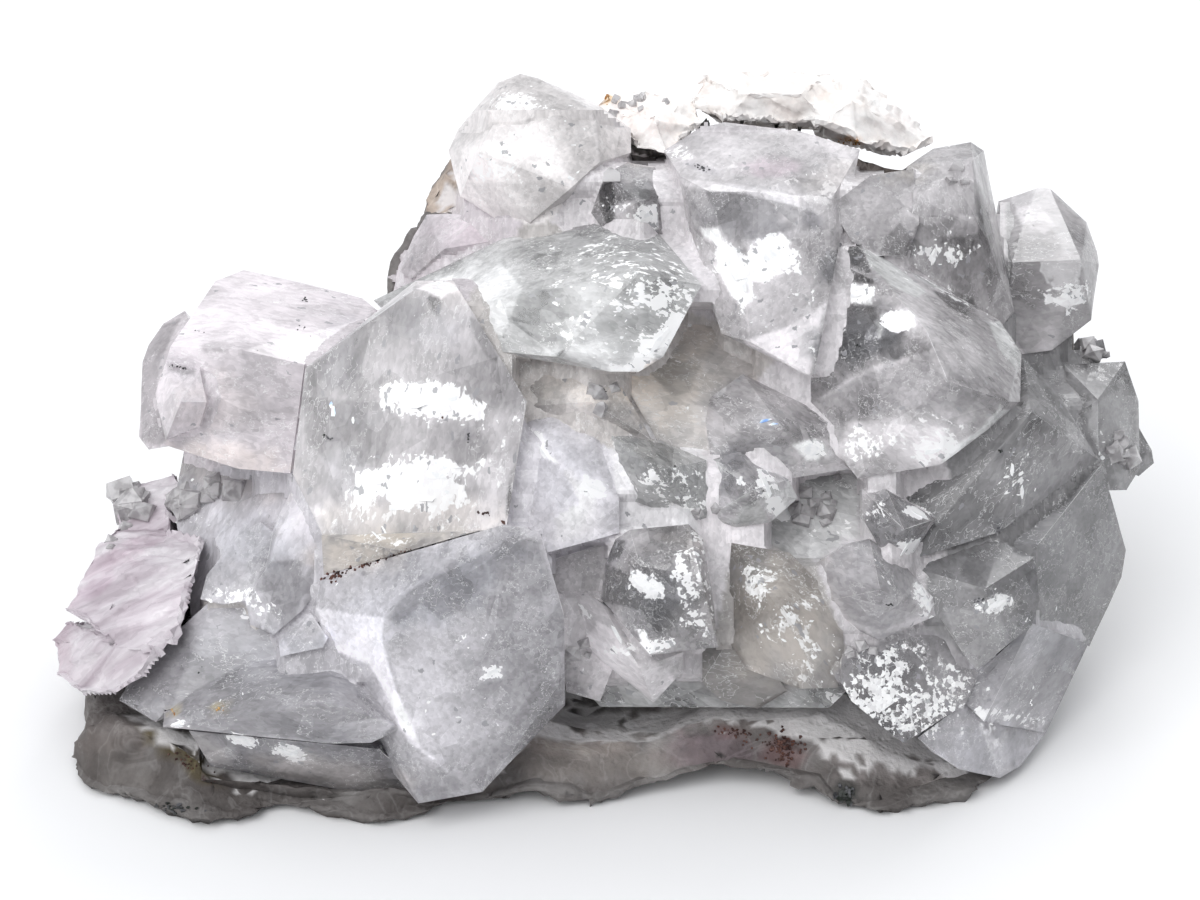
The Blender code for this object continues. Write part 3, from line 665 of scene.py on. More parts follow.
# place in the frame, half width, half height, turn, kind, strength
CRYSTAL_MARKS = [
    # the tall clear crystal
    (442, 284, 24, 9, 0, "veil", 1.0), (432, 315, 42, 26, 0, "grey", 0.7), (340, 350, 22, 40, 10, "grey", 0.6),
    (436, 402, 60, 20, 8, "flakes", 1.0), (432, 402, 42, 12, 8, "white", 0.9), (352, 418, 28, 14, 0, "grey", 0.5),
    (415, 482, 66, 30, 4, "flakes", 1.0), (404, 486, 46, 17, 4, "white", 0.9), (440, 464, 22, 5, 8, "white", 1.0),
    (415, 516, 84, 22, -3, "warm", 1.0),
    (327, 437, 12, 4, 10, "dark", 0.6), (468, 435, 5, 9, 0, "dark", 0.6), (490, 460, 24, 46, 10, "veil", 0.6),
    (345, 470, 22, 26, 0, "blue", 0.6), (365, 553, 48, 20, -12, "beige", 1.0), (310, 500, 20, 14, 0, "veil", 0.6),
    # the pale block at the left and what lies under it
    (217, 405, 40, 26, 0, "beige", 0.35), (183, 368, 18, 12, 20, "grey", 0.4), (283, 292, 36, 12, 14, "flakes", 0.4),
    (235, 470, 62, 26, 8, "beige", 1.0), (235, 480, 50, 18, 8, "grey", 0.7), (190, 500, 28, 24, 0, "flakes", 0.6),
    # the bluish crystals beside the lilac mass
    (223, 595, 22, 12, -10, "flakes", 0.9), (262, 608, 24, 14, 20, "flakes", 0.9), (250, 545, 40, 30, 0, "blue", 0.7),
    (290, 520, 26, 24, 0, "veil", 0.7),
    # the crystal that points forward
    (462, 585, 66, 20, -32, "grey", 0.8), (493, 673, 12, 8, -20, "white", 0.8), (470, 642, 20, 12, -40, "flakes", 0.6),
    (455, 725, 48, 36, -30, "flakes", 0.3), (378, 690, 60, 10, 50, "veil", 0.8), (420, 590, 90, 40, -25, "blue", 0.4),
    (400, 600, 70, 16, -22, "grey", 0.35),
    # the crystal that points left, and its underside
    (273, 660, 90, 34, 6, "blue", 0.5), (285, 650, 50, 14, 0, "grey", 0.4), (218, 708, 8, 5, 0, "yellow", 0.9),
    (172, 712, 6, 5, 0, "yellow", 0.8), (178, 724, 12, 5, 0, "white", 0.8), (244, 740, 14, 6, 15, "white", 1.0),
    (287, 752, 20, 8, 20, "white", 0.9), (330, 775, 90, 16, 8, "beige", 0.9), (200, 752, 46, 14, 30, "beige", 0.6),
    (340, 745, 60, 18, 12, "grey", 0.4),
    # the long lying crystal
    (480, 285, 60, 28, -10, "beige", 0.5), (625, 300, 76, 66, -20, "flakes", 0.7),
    (640, 298, 40, 14, -10, "flakes", 0.8), (660, 340, 30, 12, -40, "white", 0.6),
    (560, 352, 40, 8, -4, "veil", 0.7), (600, 250, 70, 20, -8, "clear", 0.5),
    # the small gem beside it
    (615, 190, 14, 22, 0, "dark", 0.45), (646, 218, 9, 8, 20, "white", 1.0), (648, 192, 22, 12, 20, "clear", 1.0),
    # the upright crystal in the middle of the crest
    (772, 168, 28, 10, 5, "mauve", 1.0), (704, 169, 16, 4, 15, "dark", 0.6), (680, 152, 14, 8, 0, "white", 0.7),
    (742, 148, 30, 9, 0, "veil", 0.6), (835, 175, 30, 14, -20, "beige", 0.4), (736, 274, 13, 28, -24, "white", 1.0),
    (772, 256, 22, 22, 0, "white", 0.9), (781, 308, 44, 26, -20, "flakes", 0.6), (812, 221, 10, 8, 0, "dark", 0.5),
    (760, 215, 60, 26, 5, "blue", 0.6), (760, 232, 40, 14, 5, "grey", 0.4), (715, 245, 16, 24, 60, "veil", 0.6),
    # crest crystals
    (540, 135, 70, 52, 0, "flakes", 0.4), (515, 102, 24, 12, -20, "white", 0.5), (500, 162, 32, 12, -20, "flakes", 0.9),
    (470, 240, 36, 22, 0, "mauve", 0.35), (900, 165, 30, 16, 0, "yellow", 0.15), (930, 210, 40, 50, 0, "veil", 0.35),
    (945, 255, 26, 14, -10, "flakes", 0.8), (1036, 218, 20, 14, 10, "veil", 0.6), (1040, 252, 26, 5, 0, "dark", 0.3),
    (1062, 294, 30, 14, 0, "flakes", 0.8), (1030, 330, 34, 22, 0, "veil", 0.5),
    # the large clear crystal at the right; its white bars are painted reflections
    (840, 268, 20, 18, 0, "clear", 1.0), (838, 270, 14, 12, 0, "dark", 0.4), (852, 292, 22, 9, 5, "white", 1.0),
    (858, 336, 46, 28, 0, "clear", 1.0), (862, 340, 34, 18, 0, "grey", 0.7), (897, 320, 20, 10, 0, "white", 1.0),
    (935, 285, 44, 9, 25, "flakes", 0.7), (980, 340, 40, 30, 30, "veil", 0.35), (905, 440, 76, 26, -5, "veil", 0.9),
    (865, 445, 22, 16, 0, "white", 0.5), (932, 452, 24, 11, -10, "flakes", 1.0), (900, 390, 70, 26, 0, "grey", 0.25),
    # the middle of the druse
    (665, 388, 44, 34, 20, "beige", 1.0), (690, 335, 36, 22, 0, "beige", 0.8), (766, 422, 16, 5, 8, "blue", 1.0),
    (812, 450, 15, 10, 10, "white", 0.9), (534, 442, 22, 9, 52, "white", 0.9), (595, 488, 15, 9, 30, "white", 0.9),
    (672, 495, 38, 26, 10, "flakes", 0.9), (728, 482, 14, 32, 10, "grey", 0.7), (767, 488, 9, 19, -20, "white", 1.0),
    (740, 481, 6, 9, 0, "white", 0.8), (784, 512, 9, 8, 0, "white", 1.0), (805, 490, 7, 5, 0, "white", 1.0),
    (745, 470, 44, 30, 0, "clear", 0.7), (560, 470, 40, 40, 0, "blue", 0.4), (600, 375, 60, 30, 0, "beige", 0.5),
    # lower middle
    (613, 552, 9, 24, 28, "dark", 0.6), (645, 584, 18, 8, 28, "white", 1.0), (679, 566, 9, 12, 0, "white", 0.8),
    (655, 600, 34, 32, 0, "clear", 1.0), (664, 600, 18, 22, 0, "grey", 0.7), (645, 647, 32, 5, -4, "white", 0.8),
    (580, 617, 16, 22, 0, "flakes", 1.0), (620, 660, 50, 26, 20, "veil", 0.4), (700, 590, 20, 50, 0, "flakes", 0.7),
    (780, 615, 52, 62, 0, "beige", 0.9), (757, 579, 22, 14, 0, "flakes", 1.0), (798, 640, 40, 44, 0, "flakes", 0.7),
    (720, 540, 50, 14, 0, "beige", 0.6),
    # lower right
    (876, 585, 64, 44, 20, "blue", 0.5), (925, 600, 10, 24, -30, "white", 0.6), (895, 520, 34, 30, 0, "clear", 0.9),
    (918, 514, 16, 7, 15, "white", 0.8), (906, 548, 14, 9, -30, "white", 0.8), (850, 520, 40, 14, -20, "flakes", 0.7),
    (910, 690, 76, 56, 0, "flakes", 0.60), (900, 705, 60, 34, 0, "white", 0.12), (875, 655, 24, 18, 0, "grey", 0.8),
    (1015, 484, 18, 38, 0, "flakes", 0.7), (1001, 452, 6, 9, 0, "dark", 0.5), (999, 526, 5, 9, 0, "dark", 0.5),
    (1058, 440, 40, 40, 0, "veil", 0.3), (1078, 540, 60, 70, 0, "grey", 0.45), (997, 604, 20, 9, -15, "white", 0.9),
    (977, 602, 9, 5, 0, "dark", 0.6), (1045, 640, 44, 22, 15, "blue", 0.7), (1040, 628, 38, 7, 20, "flakes", 0.5),
    (1008, 716, 34, 6, 8, "flakes", 1.0), (992, 757, 50, 26, 0, "veil", 0.6), (985, 755, 50, 30, 0, "blue", 0.6),
    (1115, 440, 26, 50, 0, "flakes", 0.4), (1000, 560, 60, 40, 0, "grey", 0.3),
]


def to_points(mesh, of_faces):
    """Values of the faces, averaged onto their points."""
    starts = read(mesh.polygons, "loop_start", int)[:, 0]
    corners = read(mesh.loops, "vertex_index", int)[:, 0]
    owner = np.repeat(np.arange(len(starts)), np.diff(np.append(starts, len(corners))))
    totals = np.zeros((len(mesh.vertices), of_faces.shape[1]))
    np.add.at(totals, corners, of_faces[owner])
    counted = np.bincount(corners, minlength=len(mesh.vertices))
    return totals / np.maximum(counted, 1)[:, None]

# %% [markdown]
# A crystal shows flat patches with straight edges: its faces, and the backs of other faces seen through it.
# Each patch's tone is painted light and shade, lighter or darker by how the light falls on it; the brightest,
# with glitter added, are painted reflections.

# %% Facets: painted light and shade
# tone (painted light and shade), milkiness, glitter, corners in the frame
LIT_AND_SHADED_FACETS = [
    # the large clear crystal at the right
    (0.3, -0.1, 0, [(838, 249), (860, 245), (868, 262), (874, 284), (833, 280)]),
    (1.5, 0.35, 0, [(832, 281), (868, 287), (873, 305), (838, 302)]),
    (0.52, 0, 0, [(837, 303), (875, 307), (877, 319), (862, 340), (842, 345), (826, 335)]),
    (0.72, 0, 0, [(832, 286), (838, 303), (824, 350), (808, 382), (814, 342)]),
    (2, 0.45, 1.2, [(881, 316), (904, 311), (915, 326), (890, 328)]),
    (1.6, 0.3, 0, [(876, 321), (884, 325), (882, 340), (877, 336)]),
    (0.58, 0, 0, [(810, 385), (822, 345), (860, 343), (900, 333), (936, 344), (930, 352), (880, 363), (850, 378),
        (812, 402)]),
    (1.25, 0.1, 0, [(860, 242), (884, 258), (905, 274), (926, 292), (916, 297), (893, 286), (868, 264)]),
    (1.1, 0.05, 0, [(906, 262), (940, 280), (978, 300), (934, 288), (914, 278)]),
    (0.42, -0.1, 0, [(932, 290), (950, 294), (970, 308), (968, 316), (950, 308)]),
    (0.55, 0, 0, [(952, 288), (974, 300), (979, 311), (966, 302)]),
    (1.45, 0.2, 0, [(988, 322), (999, 321), (1024, 354), (1018, 372), (1000, 350)]),
    (0.86, 0, 0, [(959, 391), (996, 400), (975, 432), (946, 448), (948, 425), (954, 405)]),
    (0.8, 0, 0, [(862, 376), (936, 350), (954, 372), (984, 392), (950, 428), (832, 420), (818, 402)]),
    (1.05, 0.05, 0, [(940, 346), (986, 330), (1000, 352), (1018, 374), (1016, 400), (984, 390), (954, 372)]),
    (0.85, 0.2, 0, [(832, 424), (898, 418), (944, 428), (946, 444), (940, 466), (860, 480), (838, 460)]),
    (1.3, 0.2, 0, [(942, 464), (948, 450), (976, 433), (999, 408), (1018, 412), (975, 446)]),
    # the upright crystal in the middle of the crest
    (1.5, 0.3, 0, [(700, 228), (718, 228), (726, 248), (704, 238)]),
    (0.62, 0, 0, [(705, 190), (740, 193), (800, 207), (797, 228), (765, 238), (728, 243), (716, 216)]),
    (1.1, 0.15, 0, [(676, 178), (740, 184), (800, 197), (800, 207), (740, 193), (705, 190), (684, 186)]),
    (0.66, 0, 0, [(729, 244), (741, 240), (753, 260), (749, 279), (737, 257)]),
    (1.6, 0.45, 1.6, [(736, 257), (749, 280), (742, 299), (732, 297), (722, 277), (722, 262)]),
    (1.6, 0.45, 1.6, [(752, 259), (766, 250), (780, 233), (791, 243), (778, 258), (780, 268), (765, 283),
        (750, 280)]),
    (1.12, 0.3, 0, [(832, 298), (808, 382), (800, 372), (764, 352), (742, 342), (788, 326), (812, 312)]),
    (0.7, 0, 0, [(800, 210), (816, 212), (818, 228), (802, 232)]),
    # the long lying crystal and what is below it
    (1.4, 0.4, 0.3, [(701, 299), (706, 302), (665, 357), (655, 354), (668, 334)]),
    (0.96, 0.2, 0, [(468, 288), (500, 262), (522, 288), (502, 336), (480, 318)]),
    (1.15, 0.1, 0.2, [(565, 318), (592, 318), (604, 344), (580, 354), (552, 353)]),
    (1.45, 0.35, 0.5, [(604, 360), (612, 366), (634, 364), (652, 352), (656, 357), (638, 371), (612, 371)]),
    (0.72, 0, 0, [(640, 363), (664, 357), (702, 362), (690, 392), (672, 396)]),
    (0.84, 0.1, 0, [(706, 303), (722, 320), (742, 343), (764, 353), (806, 379), (802, 406), (768, 374), (738, 366),
        (702, 362), (666, 357)]),
    (1.15, 0.1, 0, [(568, 392), (586, 380), (612, 398), (598, 420), (562, 420)]),
    # the tall clear crystal
    (1.5, 0.35, 0, [(417, 289), (430, 282), (446, 280), (463, 290), (450, 292), (440, 299), (428, 291)]),
    (0.55, -0.1, 0, [(427, 296), (436, 296), (443, 303), (438, 315), (432, 310)]),
    (0.64, 0, 0, [(306, 368), (328, 355), (328, 372), (318, 385), (307, 391)]),
    (0.78, 0, 0, [(344, 374), (358, 345), (369, 334), (361, 370), (352, 381)]),
    (0.66, 0, 0, [(469, 317), (479, 321), (493, 345), (500, 364), (488, 358), (474, 336)]),
    (0.84, -0.05, 0, [(303, 398), (382, 402), (405, 424), (402, 441), (380, 460), (340, 470), (306, 444)]),
    (0.9, 0.2, 0, [(345, 478), (420, 474), (512, 452), (506, 520), (400, 556), (328, 536)]),
    (0.82, -0.05, 0, [(452, 442), (480, 430), (492, 450), (480, 470), (455, 466)]),
    # the faces at its right
    (0.82, 0, 0, [(520, 441), (556, 464), (580, 502), (545, 522), (515, 505), (511, 480)]),
    (1.5, 0.4, 0.6, [(522, 437), (534, 438), (558, 464), (545, 457)]),
    (0.42, -0.1, 0, [(509, 480), (514, 506), (506, 519)]),
    # the crystal that points forward
    (1.05, 0.05, 0, [(318, 590), (332, 572), (500, 523), (514, 526), (470, 552), (410, 590), (384, 616), (316, 606)]),
    (1.3, 0.2, 0, [(316, 608), (384, 618), (382, 642), (396, 690), (421, 746), (448, 772), (408, 742), (380, 682),
        (369, 664), (330, 648)]),
    (0.72, 0, 0, [(386, 617), (410, 590), (482, 554), (488, 580), (460, 612), (441, 618), (420, 604), (397, 626)]),
    (0.76, 0, 0, [(482, 554), (518, 534), (538, 540), (546, 560), (552, 580), (541, 600), (520, 584), (494, 580)]),
    (0.78, 0, 0, [(541, 681), (576, 679), (590, 698), (575, 716), (501, 766), (490, 790), (472, 782), (502, 736),
        (526, 700)]),
    (0.86, 0, 0, [(380, 736), (395, 725), (421, 747), (448, 773), (470, 786), (440, 794), (425, 797), (401, 770)]),
    # the crystal that points left
    (1.2, 0.1, 0, [(256, 735), (328, 740), (340, 723), (382, 718), (394, 724), (374, 746), (362, 746), (282, 742)]),
    (0.72, 0, 0, [(282, 636), (310, 617), (320, 628), (328, 648), (316, 652), (290, 652)]),
    (0.86, 0, 0, [(276, 655), (330, 650), (368, 666), (382, 684), (380, 700), (300, 700), (270, 690)]),
    # lower middle
    (0.36, -0.1, 0, [(612, 541), (626, 540), (621, 556), (607, 563)]),
    (0.64, -0.1, 0, [(606, 564), (634, 578), (662, 596), (688, 602), (676, 626), (655, 633), (640, 610), (602, 602)]),
    (1.6, 0.45, 1.6, [(631, 570), (641, 572), (659, 590), (652, 595), (640, 589), (632, 580)]),
    (1.6, 0.45, 1.4, [(635, 627), (645, 632), (651, 645), (657, 652), (648, 653)]),
    (1.12, 0.1, 0, [(583, 640), (600, 622), (650, 656), (680, 682), (650, 706), (620, 690)]),
    (1.15, 0.1, 0, [(846, 620), (880, 641), (937, 622), (926, 614), (880, 630)]),
    (1.15, 0.15, 0, [(790, 568), (786, 545), (805, 530), (822, 548), (812, 566), (800, 569)]),
    (1.45, 0.35, 0, [(792, 445), (815, 438), (820, 460), (808, 461)]),
    # the right
    (1.12, 0.05, 0, [(1020, 431), (1075, 434), (1091, 452), (1022, 514), (1018, 470)]),
    (0.84, 0, 0, [(882, 479), (942, 468), (1000, 482), (1008, 520), (942, 540), (932, 519), (900, 500)]),
    (1.15, 0.1, 0, [(899, 503), (934, 518), (916, 528), (902, 522)]),
    (1.18, 0.1, 0, [(942, 605), (1000, 616), (1010, 640), (978, 678), (960, 652)]),
    (0.78, 0, 0, [(976, 535), (1036, 546), (1030, 582), (986, 600), (960, 572)]),
    (1.2, 0.1, 0, [(1016, 206), (1040, 206), (1056, 226), (1044, 234), (1022, 224)]),
    # the pale block at the left
    (0.66, 0, 0, [(140, 345), (150, 328), (181, 318), (172, 336), (160, 362), (156, 400), (168, 438), (160, 446),
        (141, 441)]),
    (0.62, 0, 0, [(167, 364), (180, 364), (196, 370), (194, 376), (168, 371)]),
    (0.78, 0, 0, [(200, 345), (212, 342), (232, 346), (228, 352), (205, 353)]),
    (1.06, 0.05, 0, [(250, 322), (300, 330), (340, 344), (330, 352), (310, 366), (250, 345)]),
    (0.9, 0, 0, [(250, 300), (300, 282), (345, 294), (362, 306), (352, 330), (300, 326), (262, 318)]),
    # the bluish crystals beside the lilac mass
    (0.88, 0, 0, [(222, 560), (240, 540), (262, 514), (276, 535), (269, 562), (240, 582), (225, 602), (204, 602),
        (202, 577)]),
    (0.82, 0, 0, [(269, 562), (300, 560), (301, 600), (290, 632), (262, 602)]),
    (1.1, 0.1, 0, [(276, 535), (286, 520), (320, 502), (322, 552), (301, 582), (300, 560), (269, 562)]),
    # the milky crystal of the crest
    (0.86, 0, 0, [(470, 183), (545, 182), (600, 206), (590, 228), (540, 236), (500, 222)]),
    (0.74, 0, 0, [(562, 212), (580, 207), (582, 227), (561, 229)]),
    (1.12, 0.1, 0.2, [(528, 161), (560, 166), (582, 186), (570, 192), (545, 176)]),
    (1.05, 0.1, 0, [(604, 110), (632, 130), (634, 158), (612, 160), (600, 150), (600, 118)]),
    # the small gem beside it
    (0.3, -0.2, 0, [(598, 190), (608, 175), (615, 190), (613, 226), (606, 223), (600, 206)]),
    (0.74, -0.1, 0, [(608, 181), (640, 186), (635, 200), (614, 205)]),
    (0.42, -0.2, 0, [(637, 189), (660, 190), (669, 198), (651, 201), (640, 199)]),
    (1.3, 0.2, 0.5, [(612, 206), (628, 201), (636, 206), (632, 219), (618, 221)]),
    (1.9, 0.5, 1.8, [(640, 206), (656, 205), (659, 229), (652, 231), (633, 220)]),
    # the crest at the right
    (0.56, -0.05, 0, [(886, 237), (900, 222), (911, 236), (930, 250), (901, 261), (881, 251)]),
    (1.2, 0.2, 0.4, [(945, 236), (960, 215), (978, 216), (980, 233), (962, 237)]),
    (1.1, 0.1, 0, [(925, 151), (974, 146), (978, 180), (971, 216), (958, 216), (930, 226), (904, 215)]),
    (0.84, 0, 0, [(980, 186), (992, 201), (1001, 230), (1003, 281), (984, 291), (980, 250), (976, 216)]),
    (0.82, 0, 0, [(1000, 201), (1014, 205), (1021, 226), (1023, 266), (1003, 271)]),
    (1.3, 0.2, 0.6, [(1054, 300), (1080, 291), (1086, 300), (1075, 307), (1058, 305)]),
    (1.1, 0.05, 0, [(1014, 322), (1040, 316), (1062, 338), (1052, 352), (1026, 353)]),
    (0.68, 0, 0, [(1026, 356), (1090, 350), (1131, 380), (1100, 402), (1080, 431), (1050, 402)]),
]
FACET_EDGE = 2.0  # in the frame: how soft a facet's edge is
print(len(CRYSTAL_MARKS), "marks and", len(LIT_AND_SHADED_FACETS), "facets")

# %% [markdown]
# Paint is only as crisp as its points are close, so long edges near a facet's outline are halved twice more.
# Then every point gets its values: first those of its crystal, then clouds, marks and facets on top.

# %% Finer points along the facets' edges
FINER_MM = (0.8, 0.46)
FINER_BAND = 8  # in the frame, for each millimetre of length
mesh = cluster.data
for longest_mm in FINER_MM:
    points = read(mesh.vertices, "co", width=3)
    normals = read(mesh.vertices, "normal", width=3)
    seen = (normals * (np.array(camera.location) - points)).sum(axis=1) > 0
    ends = read(mesh.edges, "vertices", np.int32, width=2)
    length = np.linalg.norm(points[ends[:, 0]] - points[ends[:, 1]], axis=1)
    picked = np.flatnonzero((length > longest_mm * MM) & seen[ends[:, 0]])
    u, v = frame_places(points[ends[picked]].mean(axis=1))
    reach = FINER_BAND * longest_mm
    near = np.zeros(len(picked), bool)
    for *_, corners in LIT_AND_SHADED_FACETS:
        near |= np.abs(inside(u, v, corners)) < reach
    bm = bmesh.new()
    bm.from_mesh(mesh)
    bm.edges.ensure_lookup_table()
    bmesh.ops.subdivide_edges(bm, edges=[bm.edges[i] for i in picked[near]], cuts=1)
    bmesh.ops.triangulate(bm, faces=[face for face in bm.faces if len(face.verts) > 3])
    bm.to_mesh(mesh)
    bm.free()
print("crystals cut to", len(mesh.polygons), "faces")

# %% Paint the crystals
LEAST_MILK, MOST_GLITTER, MOST_TINT = 0.34, 2.4, 1.05
of_kinds = np.array([(milk, glitter, *tint) for milk, glitter, tint in KINDS.values()])
values = to_points(mesh, of_kinds[read(mesh.attributes["kind"].data, "value", np.int32)[:, 0]])
tones = to_points(mesh, read(mesh.attributes["tone"].data, "value", np.float32))[:, 0]
painter = Painter(mesh)
clouds = painter.sway(0.09, 3.0) + 0.5 * painter.sway(0.25, 8.0)
milk = values[:, 0] + 0.30 * clouds
glitter = values[:, 1] * (1 + 1.4 * painter.sway(0.16, 21.0))
tint = values[:, 2:] * (1 + tones + 0.12 * clouds)[:, None]
for u, v, wide, high, turn, kind, strength in CRYSTAL_MARKS:
    more_milk, more_glitter, by = MARK_KINDS[kind]
    mask = painter.oval(u, v, wide, high, turn) * strength
    milk += mask * more_milk
    glitter += mask * more_glitter
    tint *= 1 + mask[:, None] * (np.array(by) - 1)
# the facets' tones: painted light and shade
for tone, more_milk, more_glitter, corners in LIT_AND_SHADED_FACETS:
    mask = np.clip(inside(painter.u, painter.v, corners) / FACET_EDGE + 0.5, 0, 1) * painter.facing
    milk += mask * more_milk
    glitter += mask * more_glitter
    tint *= 1 + mask[:, None] * (tone - 1)
painter.store("milk", np.clip(milk, LEAST_MILK, 1))
painter.store("glitter", np.clip(glitter, 0, MOST_GLITTER))
painter.store("tint", np.clip(tint, 0, MOST_TINT))
print("painted", len(CRYSTAL_MARKS), "marks; mean milkiness", round(float(milk.mean()), 2))

# %% [markdown]
# Apophyllite is a glass-clear mineral with veils: clouds of tiny bubbles, healed cracks that flash white, and
# fine growth lines along each crystal. So its finish mixes two surfaces, real glass and a white mineral, by how
# milky a place is. Cells, stretched along the crystal and bent by noise, make the flakes; they are crisp where
# the painted glitter is strong. Light fades a little on its way through the glass.


# %% Crystal finish
GLASS_IOR = 1.535
GLASS_COLOUR = (0.985, 0.985, 0.985, 1)
ABSORB_COLOUR, ABSORB_DENSITY = (0.925, 0.925, 0.93, 1), 2.5
# near white: the worn edges' colour, which also paints a highlight line along every edge
WORN_HIGHLIGHT_COLOUR = (0.95, 0.94, 0.95, 1)
PURE_WHITE = (1.0, 1.0, 1.0)
SPECK_GREY = (0.33, 0.33, 0.35)


def apophyllite():
    f = Finish("apophyllite")
    milk = f.painted("milk")
    glitter = f.painted("glitter")
    tint = f.painted("tint", "Color")
    grain = f.painted("grain", "Vector")
    along = f.vector("DOT_PRODUCT", f.place, grain, output="Value")
    drawn = f.vector("SUBTRACT", f.place, f.scaled(grain, along * 0.5))
    waves = f.noise(1.3, 2.0, 0.65, 0.0, drawn, output="Color")
    lines = f.split(waves)[0]
    planes = f.split(f.cells(0.16, None, "Color"))
    facets = f.split(f.cells(0.5, drawn, "Color"))
    chips = f.split(f.cells(2.6, f.vector("ADD", drawn, f.scaled(waves, 0.8)), "Color"))

    # white flakes where the patterns add up, thin white cracks, and single dark specks
    level = lines * 0.45 + facets[0] * 0.20 + chips[0] * 0.35
    flake = (level + glitter * 0.33).step(0.93, 0.99)
    crack = (abs(lines - 0.5)).step(0.016, 0.006) * facets[0].above(0.45)
    flake = flake.most(crack * 0.7)
    speck = chips[2].above(1.0 - glitter * 0.025)
    share = milk + (lines - 0.5) * 0.20 + (planes[1] - 0.5) * 0.10 + (facets[1] - 0.5) * 0.12 + (chips[1] - 0.5) * 0.08
    share = share.most(flake).most(speck * 0.8)

    lift = (
        1.0 + glitter * 0.05 + (lines - 0.5) * 0.26 + (planes[2] - 0.5) * 0.08
        + (facets[2] - 0.5) * 0.10 + (chips[1] - 0.5) * 0.09
    )
    chalk = f.mix(f.tint(tint, lift), PURE_WHITE, flake * (0.55 + chips[1] * 0.45))
    chalk = f.mix(chalk, SPECK_GREY, speck * 0.8)
    tilt = f.tilted(
        (planes[0] - 0.5) * 0.10,
        (facets[1] - 0.5) * 0.08 + (chips[0] - 0.5) * 0.06,
        (chips[1] - 0.5) * 0.08 + (planes[1] - 0.5) * 0.08,
    )
    white = f.principled(Base_Color=chalk, Roughness=0.30, IOR=GLASS_IOR, Normal=tilt)
    glass = f.principled(
        Base_Color=GLASS_COLOUR, Roughness=0.02, IOR=GLASS_IOR, Transmission_Weight=1.0, Normal=tilt
    )
    absorb = f.node("ShaderNodeVolumeAbsorption", None, {"Color": ABSORB_COLOUR, "Density": ABSORB_DENSITY})
    return f.done(f.mixed(glass, white, share), absorb)


cluster.data.materials[BODY] = apophyllite()
# the finish of the worn edges, with a painted highlight
f = Finish("worn_edge_highlight")
cluster.data.materials[WORN_AND_LIT] = f.done(f.principled(Base_Color=WORN_HIGHLIGHT_COLOUR, Roughness=0.25, IOR=GLASS_IOR))

# %% [markdown]
# The other minerals are massive: they have no crystal faces of their own but break into small plates and
# steps. Their solids are cut finer, and each point is moved inwards by the height of the plate it lies on.
# A plate is one cell of a Voronoi pattern with a random height and lean.


# %% Rough minerals
def plates(point, size_mm):
    """Height from 0 to 1 of leaning plates of this size."""
    place = point / (size_mm * MM)
    _, seeds = noise.voronoi(place)
    lean = noise.cell_vector(seeds[0] * 7.3)
    height = 0.5 + 0.5 * lean.z + (place - seeds[0]).dot(lean) * 0.9
    return min(max(height, 0.0), 1.0)


def rough_copy(name, new_name, longest_mm, depth, crease=24):
    """A finer copy of a solid, with every point moved in by depth(point), in millimetres."""
    piece = copy_node(name, new_name)
    bm = welded(piece.data)
    cut_finer(bm, longest_mm)
    bm.normal_update()
    moves = [(vert, vert.normal * depth(vert.co) * MM) for vert in bm.verts]
    for vert, move in moves:
        vert.co -= move
    bm.to_mesh(piece.data)
    bm.free()
    piece.data.shade_smooth()
    piece.data.set_sharp_from_angle(angle=math.radians(crease))
    print(new_name, len(piece.data.polygons), "faces")
    return piece


def paint_tint(piece, marks, seed, contrast):
    """Stains and painted light and shade on a rough mineral: (u, v, half width, half height, turn, tint, strength)."""
    painter = Painter(piece.data)
    clouds = painter.sway(0.12, seed) + 0.5 * painter.sway(0.35, seed + 4)
    tint = np.repeat((1 + contrast * clouds)[:, None], 3, axis=1)
    for u, v, wide, high, turn, colour, strength in marks:
        mask = painter.oval(u, v, wide, high, turn) * strength
        tint *= 1 + mask[:, None] * (np.array(colour) - 1)
    painter.store("tint", np.clip(tint, 0, 3.0))


# %% [markdown]
# The lilac mass at the left end is a bundle of pale leaves that rise to the right, with pink and mauve bands
# between them. Its finish is banded by a noise that is stretched along the leaves.

# %% Lilac mass
LEAF_RISE = (ACROSS * 0.80 + UP * 0.50 + OUT * 0.33).normalized()


def leaf_place(point):
    return point - LEAF_RISE * (point.dot(LEAF_RISE) * 0.72)


lilac = rough_copy(
    "lilac_mass", "lilac_mass_dressed", 0.9,
    lambda point: 0.7 * plates(leaf_place(point), 3.2) + 0.35 * plates(leaf_place(point), 1.4),
)
LILAC_MARKS = [
    (110, 560, 52, 9, -24, (0.93, 0.85, 0.89), 0.9), (90, 590, 40, 7, -30, (0.90, 0.82, 0.87), 0.9),
    (62, 640, 12, 40, 10, (0.86, 0.78, 0.81), 0.8), (130, 525, 40, 12, -10, (1.05, 1.03, 1.04), 0.8),
    (100, 670, 40, 16, -20, (0.86, 0.82, 0.84), 0.7), (110, 710, 50, 20, 10, (0.86, 0.83, 0.84), 0.6),
    (150, 610, 40, 14, -30, (1.06, 1.04, 1.05), 0.8),
]
paint_tint(lilac, LILAC_MARKS, seed=2.0, contrast=0.06)
LILAC_BANDS = (
    (0.34, (0.47, 0.41, 0.45)), (0.45, (0.60, 0.545, 0.585)),
    (0.57, (0.71, 0.67, 0.70)), (0.70, (0.84, 0.815, 0.835)),
)


